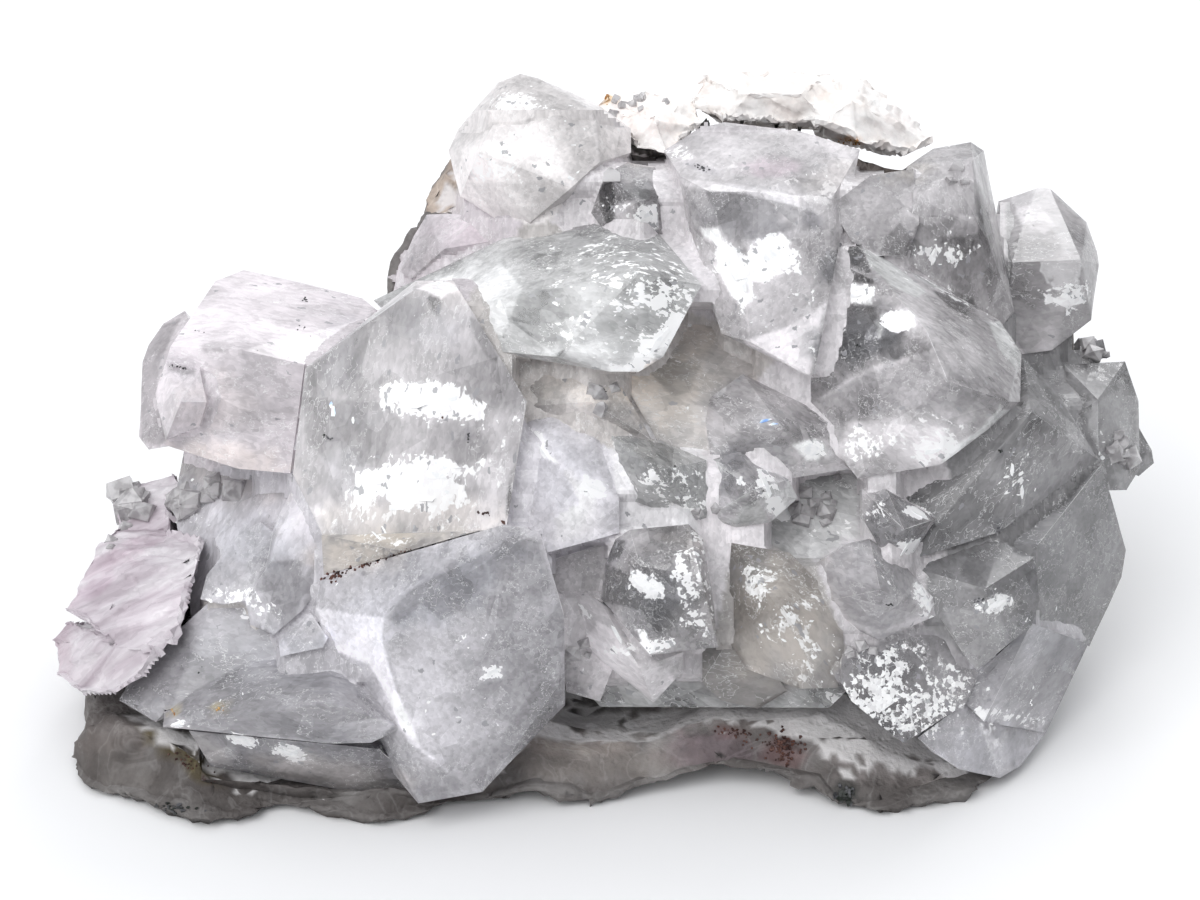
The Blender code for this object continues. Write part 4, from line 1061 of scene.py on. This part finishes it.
def lilac_finish():
    f = Finish("lilac_mineral")
    rise = tuple(LEAF_RISE)
    along = f.vector("DOT_PRODUCT", f.place, rise, output="Value")
    drawn = f.vector("SUBTRACT", f.place, f.scaled(rise, along * 0.8))
    bands = f.noise(0.32, 3, 0.6, 0.5, drawn)
    specks = f.split(f.cells(2.2, drawn, "Color"))
    colour = f.ramp(bands, *LILAC_BANDS)
    colour = f.tint(colour, f.painted("tint", "Color"))
    colour = f.tint(colour, 0.93 + specks[0] * 0.14)
    rough = 0.22 + specks[1] * 0.3
    tilt = f.tilted((specks[0] - 0.5) * 0.30, (specks[1] - 0.5) * 0.30, (specks[2] - 0.5) * 0.30)
    return f.done(f.principled(Base_Color=colour, Roughness=rough, IOR=GLASS_IOR, Normal=tilt))


lilac.data.materials.append(lilac_finish())

# %% [markdown]
# The crust behind the crest is a cream to pinkish mineral that breaks like sugar. It shows small steps and
# a few rusty spots.

# %% Cream crust
cream = rough_copy(
    "cream_crust", "cream_crust_dressed", 0.8,
    lambda point: 0.9 * plates(point, 3.2) + 0.35 * plates(point, 1.2),
)
CREAM_MARKS = [
    (604, 96, 12, 7, 0, (0.92, 0.72, 0.46), 1.0), (851, 141, 12, 4, 10, (0.72, 0.48, 0.30), 1.0),
    (640, 120, 34, 18, 0, (1.04, 1.00, 0.99), 0.7), (705, 120, 26, 12, 0, (0.84, 0.80, 0.77), 0.6),
    (800, 95, 60, 12, 8, (1.04, 1.02, 1.00), 0.6), (900, 120, 26, 20, 20, (0.93, 0.92, 0.93), 0.6),
]
paint_tint(cream, CREAM_MARKS, seed=6.0, contrast=0.06)
CREAM_COLOURS = ((0.35, (0.85, 0.79, 0.755)), (0.5, (0.95, 0.915, 0.89)), (0.65, (0.97, 0.955, 0.94)))


def cream_finish():
    f = Finish("cream_mineral")
    cloud = f.noise(0.25, 4, 0.6)
    grit = f.split(f.cells(1.9, None, "Color"))
    colour = f.ramp(cloud, *CREAM_COLOURS)
    colour = f.tint(colour, f.painted("tint", "Color"))
    colour = f.tint(colour, 0.94 + grit[0] * 0.12)
    tilt = f.tilted((grit[0] - 0.5) * 0.22, (grit[1] - 0.5) * 0.22, (grit[2] - 0.5) * 0.22)
    return f.done(f.principled(Base_Color=colour, Roughness=0.3 + grit[1] * 0.3, Normal=tilt))


cream.data.materials.append(cream_finish())

# %% [markdown]
# The rock is massive and dull. Two scales of smooth noise wear its surface down, plates break it up where it
# was split off, and its colour is a mottled grey-brown with mauve and rusty stains. Where crystals stand over
# it and shade it, it is painted pale: painted light against that shade. Marks also paint it paler behind the
# crystals, partly painted light, and dark along its lower edge, painted shade.


# %% Rock
def rock_depth(point):
    broad = 0.5 + 0.5 * sway(point, 0.10, 2.0)
    fine = 0.5 + 0.5 * sway(point, 0.55, 9.0)
    return 0.9 * broad + 0.35 * fine + 0.5 * plates(point, 5.0)


rock = rough_copy("matrix", "rock_dressed", 1.4, rock_depth, crease=40)
# near black brown: painted shade in the undercut along the rock's lower edge
UNDERCUT_SHADE_BROWN_BLACK = (0.22, 0.18, 0.16)
ROCK_MARKS = [
    (650, 765, 170, 36, 0, (1.30, 1.30, 1.32), 1.0),
    # three times paler behind the crest: partly the crystals' pale root, partly painted light that brightens what shows
    # through them
    (640, 145, 70, 30, 0, (3.0, 2.85, 2.75), 1.0), (860, 150, 120, 20, 10, (3.0, 2.85, 2.75), 1.0),
    (560, 735, 110, 16, 0, (1.55, 1.52, 1.50), 1.0), (740, 712, 90, 18, 0, (1.60, 1.56, 1.56), 1.0),
    (900, 765, 90, 18, 10, (1.60, 1.58, 1.60), 0.9), (110, 735, 50, 16, 0, (1.30, 1.26, 1.25), 0.8),
    # paler behind the neck at the back left: partly pale root, partly painted light
    (440, 190, 26, 70, 20, (2.6, 2.45, 2.3), 1.0),
    (717, 752, 44, 20, 0, (0.84, 0.72, 0.79), 0.9), (782, 748, 22, 20, 30, (0.60, 0.40, 0.40), 0.9),
    (735, 733, 18, 7, 10, (0.72, 0.56, 0.54), 0.8), (845, 796, 14, 12, 20, (0.07, 0.11, 0.09), 1.0),
    # the dark marks along the lower edge, from 770 to 825 down the frame, are painted shade of the rock's undercut foot
    (868, 806, 22, 7, 5, (0.35, 0.34, 0.33), 0.8), (590, 760, 90, 20, 0, (0.98, 0.93, 0.86), 0.6),
    (660, 715, 40, 16, 0, (0.90, 0.84, 0.86), 0.6), (560, 795, 130, 9, -2, (0.66, 0.63, 0.62), 0.8),
    (880, 815, 60, 10, 10, (0.62, 0.57, 0.53), 0.7), (960, 790, 50, 20, 0, (0.84, 0.80, 0.77), 0.5),
    (110, 770, 60, 36, 10, (0.68, 0.65, 0.63), 0.8), (140, 805, 70, 9, 4, UNDERCUT_SHADE_BROWN_BLACK, 0.9),
    (235, 825, 60, 8, 0, UNDERCUT_SHADE_BROWN_BLACK, 0.7), (360, 822, 80, 9, 4, (0.50, 0.45, 0.42), 0.8),
    (95, 798, 20, 6, 0, UNDERCUT_SHADE_BROWN_BLACK, 1.0), (160, 740, 18, 7, 35, (0.80, 0.72, 0.42), 0.9),
    # its second mark, in the recess under the pale block, is painted shade
    (195, 765, 28, 11, 35, (0.78, 0.68, 0.36), 1.0), (152, 456, 9, 14, 0, (0.34, 0.25, 0.20), 1.0),
    (440, 190, 26, 60, 20, (1.0, 0.93, 0.86), 0.8), (480, 800, 60, 12, -6, (0.60, 0.56, 0.54), 0.7),
]
paint_tint(rock, ROCK_MARKS, seed=14.0, contrast=0.09)
# how much the crystals shade each point of the rock; the finish paints it paler there, as painted light
painter = Painter(rock.data)
painter.store("covered", covered_by(tree_of(cluster), painter, reach_mm=14.0, count=3))
ROCK_COLOURS = (
    (0.34, (0.085, 0.074, 0.070)), (0.46, (0.13, 0.118, 0.113)),
    (0.56, (0.18, 0.168, 0.162)), (0.70, (0.25, 0.238, 0.232)),
)
VEIN_GREY = (0.44, 0.43, 0.425)
# pale: painted light on the rock where the crystals shade it
PAINTED_LIGHT_UNDER_CRYSTALS = (0.84, 0.82, 0.82)


def rock_finish():
    f = Finish("rock")
    cloud = f.noise(0.10, 5, 0.6, 0.6)
    veins = abs(f.noise(0.16, 3, 0.55, 1.2) - 0.5)
    grit = f.noise(1.6, 3, 0.65)
    pits = f.cells(1.1)
    colour = f.ramp(cloud, *ROCK_COLOURS)
    colour = f.mix(colour, VEIN_GREY, veins.step(0.03, 0.0) * 0.15)
    colour = f.tint(colour, f.painted("tint", "Color"))
    colour = f.tint(colour, 0.80 + grit * 0.40)
    # painted light: paler where the crystals shade the rock
    colour = f.mix(colour, PAINTED_LIGHT_UNDER_CRYSTALS, f.painted("covered").step(0.35, 0.8))
    rough = 0.55 + grit * 0.35
    height = grit * 0.6 + pits.step(0.0, 0.5) * 0.4
    return f.done(f.principled(Base_Color=colour, Roughness=rough, Normal=f.bump(height, 0.35, 0.7)))


rock.data.materials.append(rock_finish())

# %% [markdown]
# Flakes. Where a crystal is cracked or stepped, thin white flakes lie in its face and flash. Each is a flat
# chip with four to six corners. Most are strewn where the painted flakes are, from the camera's side; more lie
# all over the crystals.


# %% Chips, grains and the surface they lie on
class Surface:
    """Where rays meet a piece."""

    def __init__(self, piece):
        self.tree = tree_of(piece)

    def seen(self, u, v):
        """(point, normal) at a place in the camera's frame, or None."""
        point, normal, _, _ = self.tree.ray_cast(camera.location, view_ray(u, v))
        return (point, normal) if point else None


class Heap:
    """Many small closed shapes in one mesh."""

    def __init__(self):
        self.points = []
        self.faces = []

    def prism(self, lower, upper):
        """A closed shape between two rings with the same number of corners."""
        first, count = len(self.points), len(lower)
        self.points += lower + upper
        self.faces.append([first + i for i in reversed(range(count))])
        self.faces.append([first + count + i for i in range(count)])
        for i in range(count):
            j = (i + 1) % count
            self.faces.append([first + i, first + j, first + count + j, first + count + i])

    def piece(self, name, material, slot):
        mesh = bpy.data.meshes.new(name)
        mesh.from_pydata(self.points, [], self.faces)
        mesh.materials.append(material)
        made = link(bpy.data.objects.new(name, mesh))
        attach(made, "root")
        print(name, len(mesh.polygons), "faces")


def sides_of(normal, turn):
    """Two directions in the surface: one turned from across, down to the right, and one beside it."""
    across = (ACROSS - normal * ACROSS.dot(normal)).normalized()
    down = across.cross(normal)
    if down.dot(UP) > 0:
        down = -down
    along = across * math.cos(turn) + down * math.sin(turn)
    return along, normal.cross(along)


CHIP_LEAN = 0.10


def chip(heap, rng, place, normal, turn, half_long, half_wide, thick):
    """A flat chip with ragged corners, sunk by half its thickness."""
    lean = Vector((rng.uniform(-1, 1), rng.uniform(-1, 1), rng.uniform(-1, 1))) * CHIP_LEAN
    normal = (normal + lean).normalized()
    along, aside = sides_of(normal, turn)
    corners = rng.randint(4, 6)
    start = rng.uniform(0, math.tau)
    ring = []
    for i in range(corners):
        angle = start + math.tau * (i + rng.uniform(-0.3, 0.3)) / corners
        reach = rng.uniform(0.7, 1.0) * MM
        long_way = along * (math.cos(angle) * half_long * reach)
        ring.append(place + long_way + aside * (math.sin(angle) * half_wide * reach))
    rise = normal * (thick * MM / 2)
    if (ring[1] - ring[0]).cross(ring[2] - ring[0]).dot(normal) < 0:
        ring.reverse()
    heap.prism([point - rise for point in ring], [point + rise for point in ring])


# %% White flakes
CHIPS_PER_SQUARE = {"white": 0.006, "flakes": 0.006}
crystal_surface = Surface(cluster)
flakes = Heap()
rng = random.Random(21)
for u, v, wide, high, turn, kind, strength in CRYSTAL_MARKS:
    count = round(CHIPS_PER_SQUARE.get(kind, 0) * math.pi * wide * high * strength)
    cos, sin = math.cos(math.radians(turn)), math.sin(math.radians(turn))
    for _ in range(count):
        reach, angle = rng.random() ** 0.6, rng.uniform(0, math.tau)
        along, aside = reach * wide * math.cos(angle), reach * high * math.sin(angle)
        found = crystal_surface.seen(u + along * cos - aside * sin, v + along * sin + aside * cos)
        size = 0.07 + 0.42 * rng.random() ** 3
        direction = math.radians(turn) + rng.gauss(0, 0.35)
        if found:
            chip(flakes, rng, *found, direction, size, size * rng.uniform(0.25, 0.8), 0.05)
print(len(flakes.faces), "faces of flakes in the marks")

# %% Flakes all over
TRIED_FACES = 3000
LEAST_AREA = 0.1 * MM * MM
faces = cluster.data.polygons
for index in rng.sample(range(len(faces)), TRIED_FACES):
    face = faces[index]
    crowded = sway(face.center, 0.14, 33.0) > 0.22
    size = 0.07 + 0.25 * rng.random() ** 3
    if crowded and face.area > LEAST_AREA:
        turn = rng.uniform(0, math.tau)
        chip(flakes, rng, face.center.copy(), face.normal.copy(), turn, size, size * rng.uniform(0.15, 0.6), 0.04)

# %% Larger flakes that flash, in part painted glints
# place in the frame, half length and half width in millimetres, turn
# white chips where the crystals glint: partly real white cracks, partly painted glints; those at (852, 290), (852, 296)
# and (897, 321) are painted reflections on the large clear crystal
FLASHES = [
    (736, 268, 2.3, 1.0, 62), (742, 286, 1.3, 0.7, 30), (772, 256, 1.5, 1.0, -30), (765, 244, 1.0, 0.5, -60),
    (646, 218, 0.9, 0.8, 20), (852, 290, 2.0, 0.35, 5), (852, 296, 1.8, 0.25, 5), (897, 321, 1.5, 0.6, 0),
    (812, 450, 1.4, 0.8, 12), (528, 434, 2.2, 0.45, 52), (540, 450, 1.6, 0.35, 45), (595, 488, 1.3, 0.4, 25),
    (767, 488, 1.5, 0.6, 62), (784, 512, 0.8, 0.6, 0), (805, 490, 0.6, 0.4, -20), (740, 481, 0.5, 0.7, 0),
    (645, 584, 1.6, 0.5, 28), (640, 648, 2.0, 0.3, -6), (617, 634, 1.8, 0.25, 60), (925, 600, 2.0, 0.4, 60),
    (493, 672, 1.0, 0.5, -20), (244, 739, 1.2, 0.5, 14), (286, 752, 1.4, 0.5, 20), (178, 723, 1.0, 0.3, 0),
    (409, 402, 2.2, 0.8, 12), (438, 406, 1.6, 0.9, 5), (452, 398, 1.0, 0.5, -10), (395, 395, 1.2, 0.5, -15),
    (386, 472, 1.0, 0.3, 20), (437, 476, 1.6, 0.5, 8), (420, 498, 2.2, 0.4, 5), (396, 508, 1.8, 0.35, 0),
    (372, 480, 1.2, 0.3, 30), (450, 466, 1.3, 0.4, 15), (997, 604, 1.4, 0.4, -18), (864, 444, 1.0, 0.7, 30),
    (930, 452, 1.3, 0.4, -14), (384, 530, 1.8, 0.12, 62), (377, 536, 1.0, 0.15, 40), (660, 340, 2.4, 0.4, -48),
    (906, 548, 1.4, 0.4, -40), (918, 514, 1.4, 0.35, 20), (1064, 296, 0.9, 0.4, 10), (680, 151, 1.0, 0.5, 10),
    (715, 240, 1.6, 0.3, 60), (353, 420, 0.2, 0.5, 0), (1022, 492, 0.3, 0.9, 4), (1012, 470, 0.25, 0.8, 0),
]


def lay_chips(heap, places, thick):
    for u, v, half_long, half_wide, turn in places:
        found = crystal_surface.seen(u, v)
        if found:
            chip(heap, rng, *found, math.radians(turn), half_long, half_wide, thick)


lay_chips(flakes, FLASHES, 0.08)

f = Finish("white_flake")
dust = f.noise(1.5, 2)
white = f.mix((0.88, 0.89, 0.90), PURE_WHITE, dust.step(0.35, 0.6))
flake_paint = f.done(f.principled(Base_Color=white, Roughness=0.22 + dust * 0.2, IOR=GLASS_IOR))
flakes.piece("white_flakes", flake_paint, "apophyllite")

# %% [markdown]
# A few places show a rainbow: a crack so thin that it colours the light, as oil on water does. The flakes there
# are blue at one end and white to rose at the other.

# %% Rainbow cracks
RAINBOW_CRACKS = [
    (333, 412, 0.30, 0.9, 0), (331, 405, 0.2, 0.4, 10), (763, 421, 1.3, 0.28, 12), (774, 424, 0.7, 0.2, 8),
    (603, 385, 0.4, 0.2, 0),
]
RAINBOW = (
    (0.35, (0.30, 0.52, 1.0)), (0.47, (0.80, 0.92, 1.0)), (0.55, (1.0, 1.0, 1.0)), (0.68, (1.0, 0.80, 0.93))
)
rainbow = Heap()
lay_chips(rainbow, RAINBOW_CRACKS, 0.07)
f = Finish("rainbow_crack")
colour = f.ramp(f.noise(0.9, 1), *RAINBOW)
rainbow.piece("rainbow_cracks", f.done(f.principled(Base_Color=colour, Roughness=0.12, IOR=1.8)), "apophyllite")

# %% [markdown]
# Small grains of other minerals sit on the faces: a row of red-brown ones in the groove over the crystal that
# points forward, more on the rock below, orange ones on the crust and single dark specks elsewhere. The dark
# ones on the rock in the recess under the pale block and along its lower left edge are painted shade.


# %% Grains
def grain_at(heap, rng, found, size, flat=0.6):
    """A small angular lump, half sunk."""
    point, normal = found
    along, aside = sides_of(normal, rng.uniform(0, math.tau))
    lower, upper = [], []
    for i in range(5):
        angle = math.tau * (i + rng.uniform(-0.25, 0.25)) / 5
        reach = size * MM * rng.uniform(0.75, 1.1)
        ring = along * (math.cos(angle) * reach) + aside * (math.sin(angle) * reach)
        lower.append(point + ring - normal * size * MM * 0.4)
        upper.append(point + ring * rng.uniform(0.4, 0.7) + normal * size * MM * flat)
    if (lower[1] - lower[0]).cross(lower[2] - lower[0]).dot(normal) < 0:
        lower.reverse()
        upper.reverse()
    heap.prism(lower, upper)


def spread(rng, u, v, wide, high, turn):
    """A random place in an oval, thicker in its middle."""
    cos, sin = math.cos(math.radians(turn)), math.sin(math.radians(turn))
    along, aside = rng.gauss(0, wide * 0.5), rng.gauss(0, high * 0.5)
    return u + along * cos - aside * sin, v + along * sin + aside * cos


rock_surface = Surface(rock)
cream_surface = Surface(cream)
# surface, middle in the frame, half sizes, turn, count, size in millimetres
GRAIN_FIELDS = {
    "rust_grains": [
        (crystal_surface, (331, 577, 14, 5, -22), 34, 0.20), (crystal_surface, (362, 566, 22, 2.5, -18), 34, 0.17),
        (crystal_surface, (402, 553, 24, 2.0, -20), 18, 0.13), (rock_surface, (783, 748, 16, 16, 35), 90, 0.24),
        (rock_surface, (735, 733, 18, 6, 10), 34, 0.18), (rock_surface, (768, 742, 30, 8, 12), 26, 0.16),
        (crystal_surface, (442, 417, 2, 2, 0), 3, 0.20), (crystal_surface, (484, 513, 6, 2, 0), 9, 0.15),
        (crystal_surface, (503, 522, 5, 2, 0), 7, 0.15), (rock_surface, (190, 765, 24, 8, 35), 30, 0.16),
    ],
    "orange_grains": [
        (cream_surface, (602, 96, 10, 6, 0), 26, 0.22), (cream_surface, (851, 141, 9, 3, 10), 16, 0.20),
        (crystal_surface, (219, 708, 5, 3, 0), 8, 0.15), (crystal_surface, (172, 712, 4, 3, 0), 6, 0.14),
    ],
    "dark_grains_and_shade": [
        (crystal_surface, (305, 301, 3, 4, 0), 8, 0.18), (crystal_surface, (302, 328, 4, 3, 0), 6, 0.13),
        (crystal_surface, (180, 367, 9, 2, 8), 12, 0.14), (crystal_surface, (200, 331, 5, 5, 0), 3, 0.12),
        (crystal_surface, (327, 437, 7, 2, 10), 7, 0.14), (crystal_surface, (468, 434, 2, 5, 0), 7, 0.14),
        (crystal_surface, (704, 169, 12, 3, 15), 16, 0.17), (crystal_surface, (609, 205, 5, 14, 0), 14, 0.15),
        (crystal_surface, (804, 388, 5, 6, 0), 7, 0.15), (crystal_surface, (889, 605, 4, 1.5, 8), 7, 0.13),
        (crystal_surface, (978, 601, 6, 3, 0), 8, 0.14), (crystal_surface, (820, 498, 14, 4, -25), 9, 0.12),
        (crystal_surface, (1001, 452, 2, 6, 0), 8, 0.13), (crystal_surface, (999, 526, 2, 6, 0), 8, 0.13),
        # on the rock, the dark grains at (151, 456) in the recess and at (160, 808) along the lower left edge are
        # painted shade
        (rock_surface, (151, 456, 4, 8, 0), 12, 0.30), (rock_surface, (845, 796, 10, 9, 0), 50, 0.34),
        (rock_surface, (160, 808, 50, 4, 3), 40, 0.28), (crystal_surface, (604, 390, 3, 2, 0), 5, 0.14),
        (crystal_surface, (199, 671, 3, 3, 0), 2, 0.16), (crystal_surface, (858, 345, 3, 3, 0), 4, 0.15),
    ],
}
GRAIN_COLOURS = {
    "rust_grains": ((0.045, 0.018, 0.015), (0.13, 0.055, 0.04)),
    "orange_grains": ((0.36, 0.16, 0.05), (0.62, 0.38, 0.14)),
    "dark_grains_and_shade": ((0.02, 0.025, 0.02), (0.10, 0.10, 0.11)),
}
for name, fields in GRAIN_FIELDS.items():
    heap = Heap()
    for surface, (u, v, wide, high, turn), count, size in fields:
        for _ in range(count):
            found = surface.seen(*spread(rng, u, v, wide, high, turn))
            if found:
                grain_at(heap, rng, found, size * rng.uniform(0.5, 1.3))
    f = Finish(name)
    colour = f.mix(*GRAIN_COLOURS[name], f.noise(1.2, 2).step(0.4, 0.6))
    heap.piece(name, f.done(f.principled(Base_Color=colour, Roughness=0.4 + f.noise(2.0, 1) * 0.3)), "rock")

# %% [markdown]
# Between the large crystals sit small ones of the same kind, one to three millimetres long: square prisms with
# a pointed end. They are thick in the nook at the left and at the right edge.


# %% Small crystals
def small_crystal(heap, rng, found, size):
    point, normal = found
    lean = Vector((rng.uniform(-1, 1), rng.uniform(-1, 1), rng.uniform(-0.6, 1))) * 0.6
    axis = (normal + lean).normalized()
    first, second = sides_of(axis, rng.uniform(-0.5, 0.5))
    half = size * MM * rng.uniform(0.3, 0.5)
    length = size * MM * rng.uniform(0.4, 0.9)
    narrow = rng.uniform(0.6, 1.0)
    ring = [first * half + second * half * narrow, second * half * narrow - first * half]
    ring += [-ring[0], -ring[1]]
    if (ring[1] - ring[0]).cross(ring[2] - ring[0]).dot(axis) < 0:
        ring.reverse()
    foot = point - axis * (length * 0.7)
    shoulder = point + axis * (length * 0.3)
    base = [foot + corner for corner in ring]
    top = [shoulder + corner * rng.uniform(0.9, 1.0) for corner in ring]
    first_index = len(heap.points)
    heap.points += base + top + [shoulder + axis * half * rng.uniform(0.3, 0.9) + ring[0] * rng.uniform(-0.4, 0.4)]
    heap.faces.append([first_index + i for i in (3, 2, 1, 0)])
    for i in range(4):
        j = (i + 1) % 4
        heap.faces.append([first_index + k for k in (i, j, 4 + j, 4 + i)])
        heap.faces.append([first_index + k for k in (4 + i, 4 + j, 8)])


lilac_surface = Surface(lilac)
SMALL_FIELDS = [
    (crystal_surface, (165, 498, 46, 18, 0), 22, 3.0), (crystal_surface, (205, 490, 40, 14, 0), 8, 2.2),
    (crystal_surface, (1096, 350, 16, 14, 0), 9, 2.2), (lilac_surface, (130, 500, 50, 20, 0), 16, 3.0),
    (lilac_surface, (110, 545, 30, 14, -20), 8, 1.6), (crystal_surface, (610, 172, 16, 12, 0), 5, 2.0),
    (crystal_surface, (820, 500, 34, 16, -20), 10, 1.8), (crystal_surface, (700, 520, 46, 14, 0), 8, 1.8),
    (crystal_surface, (1125, 440, 22, 34, 0), 8, 2.4), (crystal_surface, (600, 395, 34, 16, 0), 4, 1.6),
    (crystal_surface, (955, 170, 18, 16, 0), 3, 1.6), (cream_surface, (630, 100, 30, 12, 0), 12, 1.6),
    (crystal_surface, (860, 655, 20, 12, 0), 4, 1.6), (crystal_surface, (580, 640, 16, 24, 0), 6, 1.8),
]
small = Heap()
for surface, (u, v, wide, high, turn), count, size in SMALL_FIELDS:
    for _ in range(count):
        found = surface.seen(*spread(rng, u, v, wide, high, turn))
        if found:
            small_crystal(small, rng, found, size * rng.uniform(0.55, 1.25))
f = Finish("small_crystal")
cloud = f.noise(0.9, 2)
white = f.mix((0.50, 0.48, 0.49), (0.80, 0.78, 0.79), cloud.step(0.35, 0.6))
small_paint = f.done(
    f.principled(Base_Color=white, Roughness=0.10 + cloud * 0.15, IOR=GLASS_IOR, Transmission_Weight=0.35)
)
small.piece("small_crystals", small_paint, "apophyllite")

# %% [markdown]
# Seams. The crystals grew into one another, so no dark slot stays open between two of them: later growth of the
# same mineral closes it. The depth of the visible surface is measured on a fine grid of rays from the camera,
# narrow dips in it are found by a morphological closing, and each dip gets a thin closed sheet just under the
# rims. That fills every slot whatever its outline, and leaves the crystals' own edges as they are.

# %% Dips between the crystals
SEAM_ACROSS, SEAM_DOWN = (60, 1150), (110, 690)  # the part of the frame that is searched
SEAM_STEP = 4.0  # between rays, in the frame
SEAM_REACH = 3  # rays on either side: how wide a dip may be
SEAM_DIP_MM = 0.6
SEAM_THICK_MM = 2.5
SEAM_SUNK_MM = 0.12
BEHIND = -1000.0


def widened(levels, best, reach=SEAM_REACH):
    for axis in (0, 1):
        levels = best([np.roll(levels, shift, axis) for shift in range(-reach, reach + 1)], axis=0)
    return levels


def smoothed(levels):
    for axis in (0, 1):
        levels = (np.roll(levels, -1, axis) + levels + np.roll(levels, 1, axis)) / 3
    return levels


def seam_levels(columns, rows, surfaces):
    """How far out the nearest surface lies on each ray, and whether the ray met a surface."""
    levels = np.full((len(rows), len(columns)), BEHIND)
    for row, v in enumerate(rows):
        for column, u in enumerate(columns):
            for surface in surfaces:
                found = surface.seen(u, v)
                if found:
                    levels[row, column] = max(levels[row, column], found[0].dot(OUT) / MM)
    return levels, levels > BEHIND


columns, rows = np.arange(*SEAM_ACROSS, SEAM_STEP), np.arange(*SEAM_DOWN, SEAM_STEP)
levels, met = seam_levels(columns, rows, (crystal_surface, rock_surface))
closed = widened(widened(levels, np.max), np.min)
lid = np.minimum(smoothed(closed), closed) - SEAM_DIP_MM
dips = met & (lid > levels)
rim = widened(np.where(dips, lid, BEHIND), np.max, 1) + SEAM_SUNK_MM
top_levels = np.where(dips, lid, np.minimum(levels - SEAM_SUNK_MM, rim))


def of_squares(at_corners, combine):
    """One value for each square of the grid, from its four corners."""
    return combine([at_corners[1:, 1:], at_corners[1:, :-1], at_corners[:-1, 1:], at_corners[:-1, :-1]], axis=0)


used = of_squares(dips, np.any) & of_squares(met, np.all)
print(dips.sum(), "of", met.sum(), "rays end in a dip")

# %% Seams between the crystals
SEAM_TINT, SEAM_TONE = 0.95, 0.6  # how bright a seam is, and how much it takes its neighbour's tone
SEAM_MILK, SEAM_GLITTER = 0.85, 0.1
seams = bmesh.new()
sheet = {}


def sheet_point(row, column, deep):
    if (row, column, deep) not in sheet:
        u, v = columns[column], rows[row]
        way = view_ray(u, v)
        top = top_levels[row, column] - deep * SEAM_THICK_MM
        reach = (top * MM - camera.location.dot(OUT)) / way.dot(OUT)
        sheet[row, column, deep] = seams.verts.new(camera.location + way * reach)
    return sheet[row, column, deep]


for row, column in zip(*np.nonzero(used)):
    ring = [(row, column), (row + 1, column), (row + 1, column + 1), (row, column + 1)]
    seams.faces.new([sheet_point(*corner, 0) for corner in ring])
    seams.faces.new([sheet_point(*corner, 1) for corner in reversed(ring)])
places = {vert: place for place, vert in sheet.items()}
for edge in [edge for edge in seams.edges if len(edge.link_faces) == 1]:
    loop = edge.link_loops[0]
    start, end = places[loop.vert], places[loop.link_loop_next.vert]
    if start[2] == 0:
        corners = [end, start, (*start[:2], 1), (*end[:2], 1)]
        seams.faces.new([sheet[corner] for corner in corners])
seam_mesh = bpy.data.meshes.new("seam_crystal")
seams.to_mesh(seam_mesh)
seams.free()
seam = link(bpy.data.objects.new("seam_crystal", seam_mesh))
painter = Painter(seam_mesh)
tints = []
for point in painter.points:
    _, _, kind, tone = nearest_place(*druse_place(Vector(point)))
    tints.append(np.array(KINDS[kind][2]) * (SEAM_TINT + SEAM_TONE * tone))
painter.store("tint", np.clip(tints, 0, 1))
painter.store("milk", np.full(len(tints), SEAM_MILK))
painter.store("glitter", np.full(len(tints), SEAM_GLITTER))
painter.store("grain", np.tile((0.0, 0.0, 1.0), (len(tints), 1)))
seam_mesh.materials.append(cluster.data.materials[BODY])
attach(seam, "root")
print("seam_crystal", len(seam_mesh.polygons), "faces")
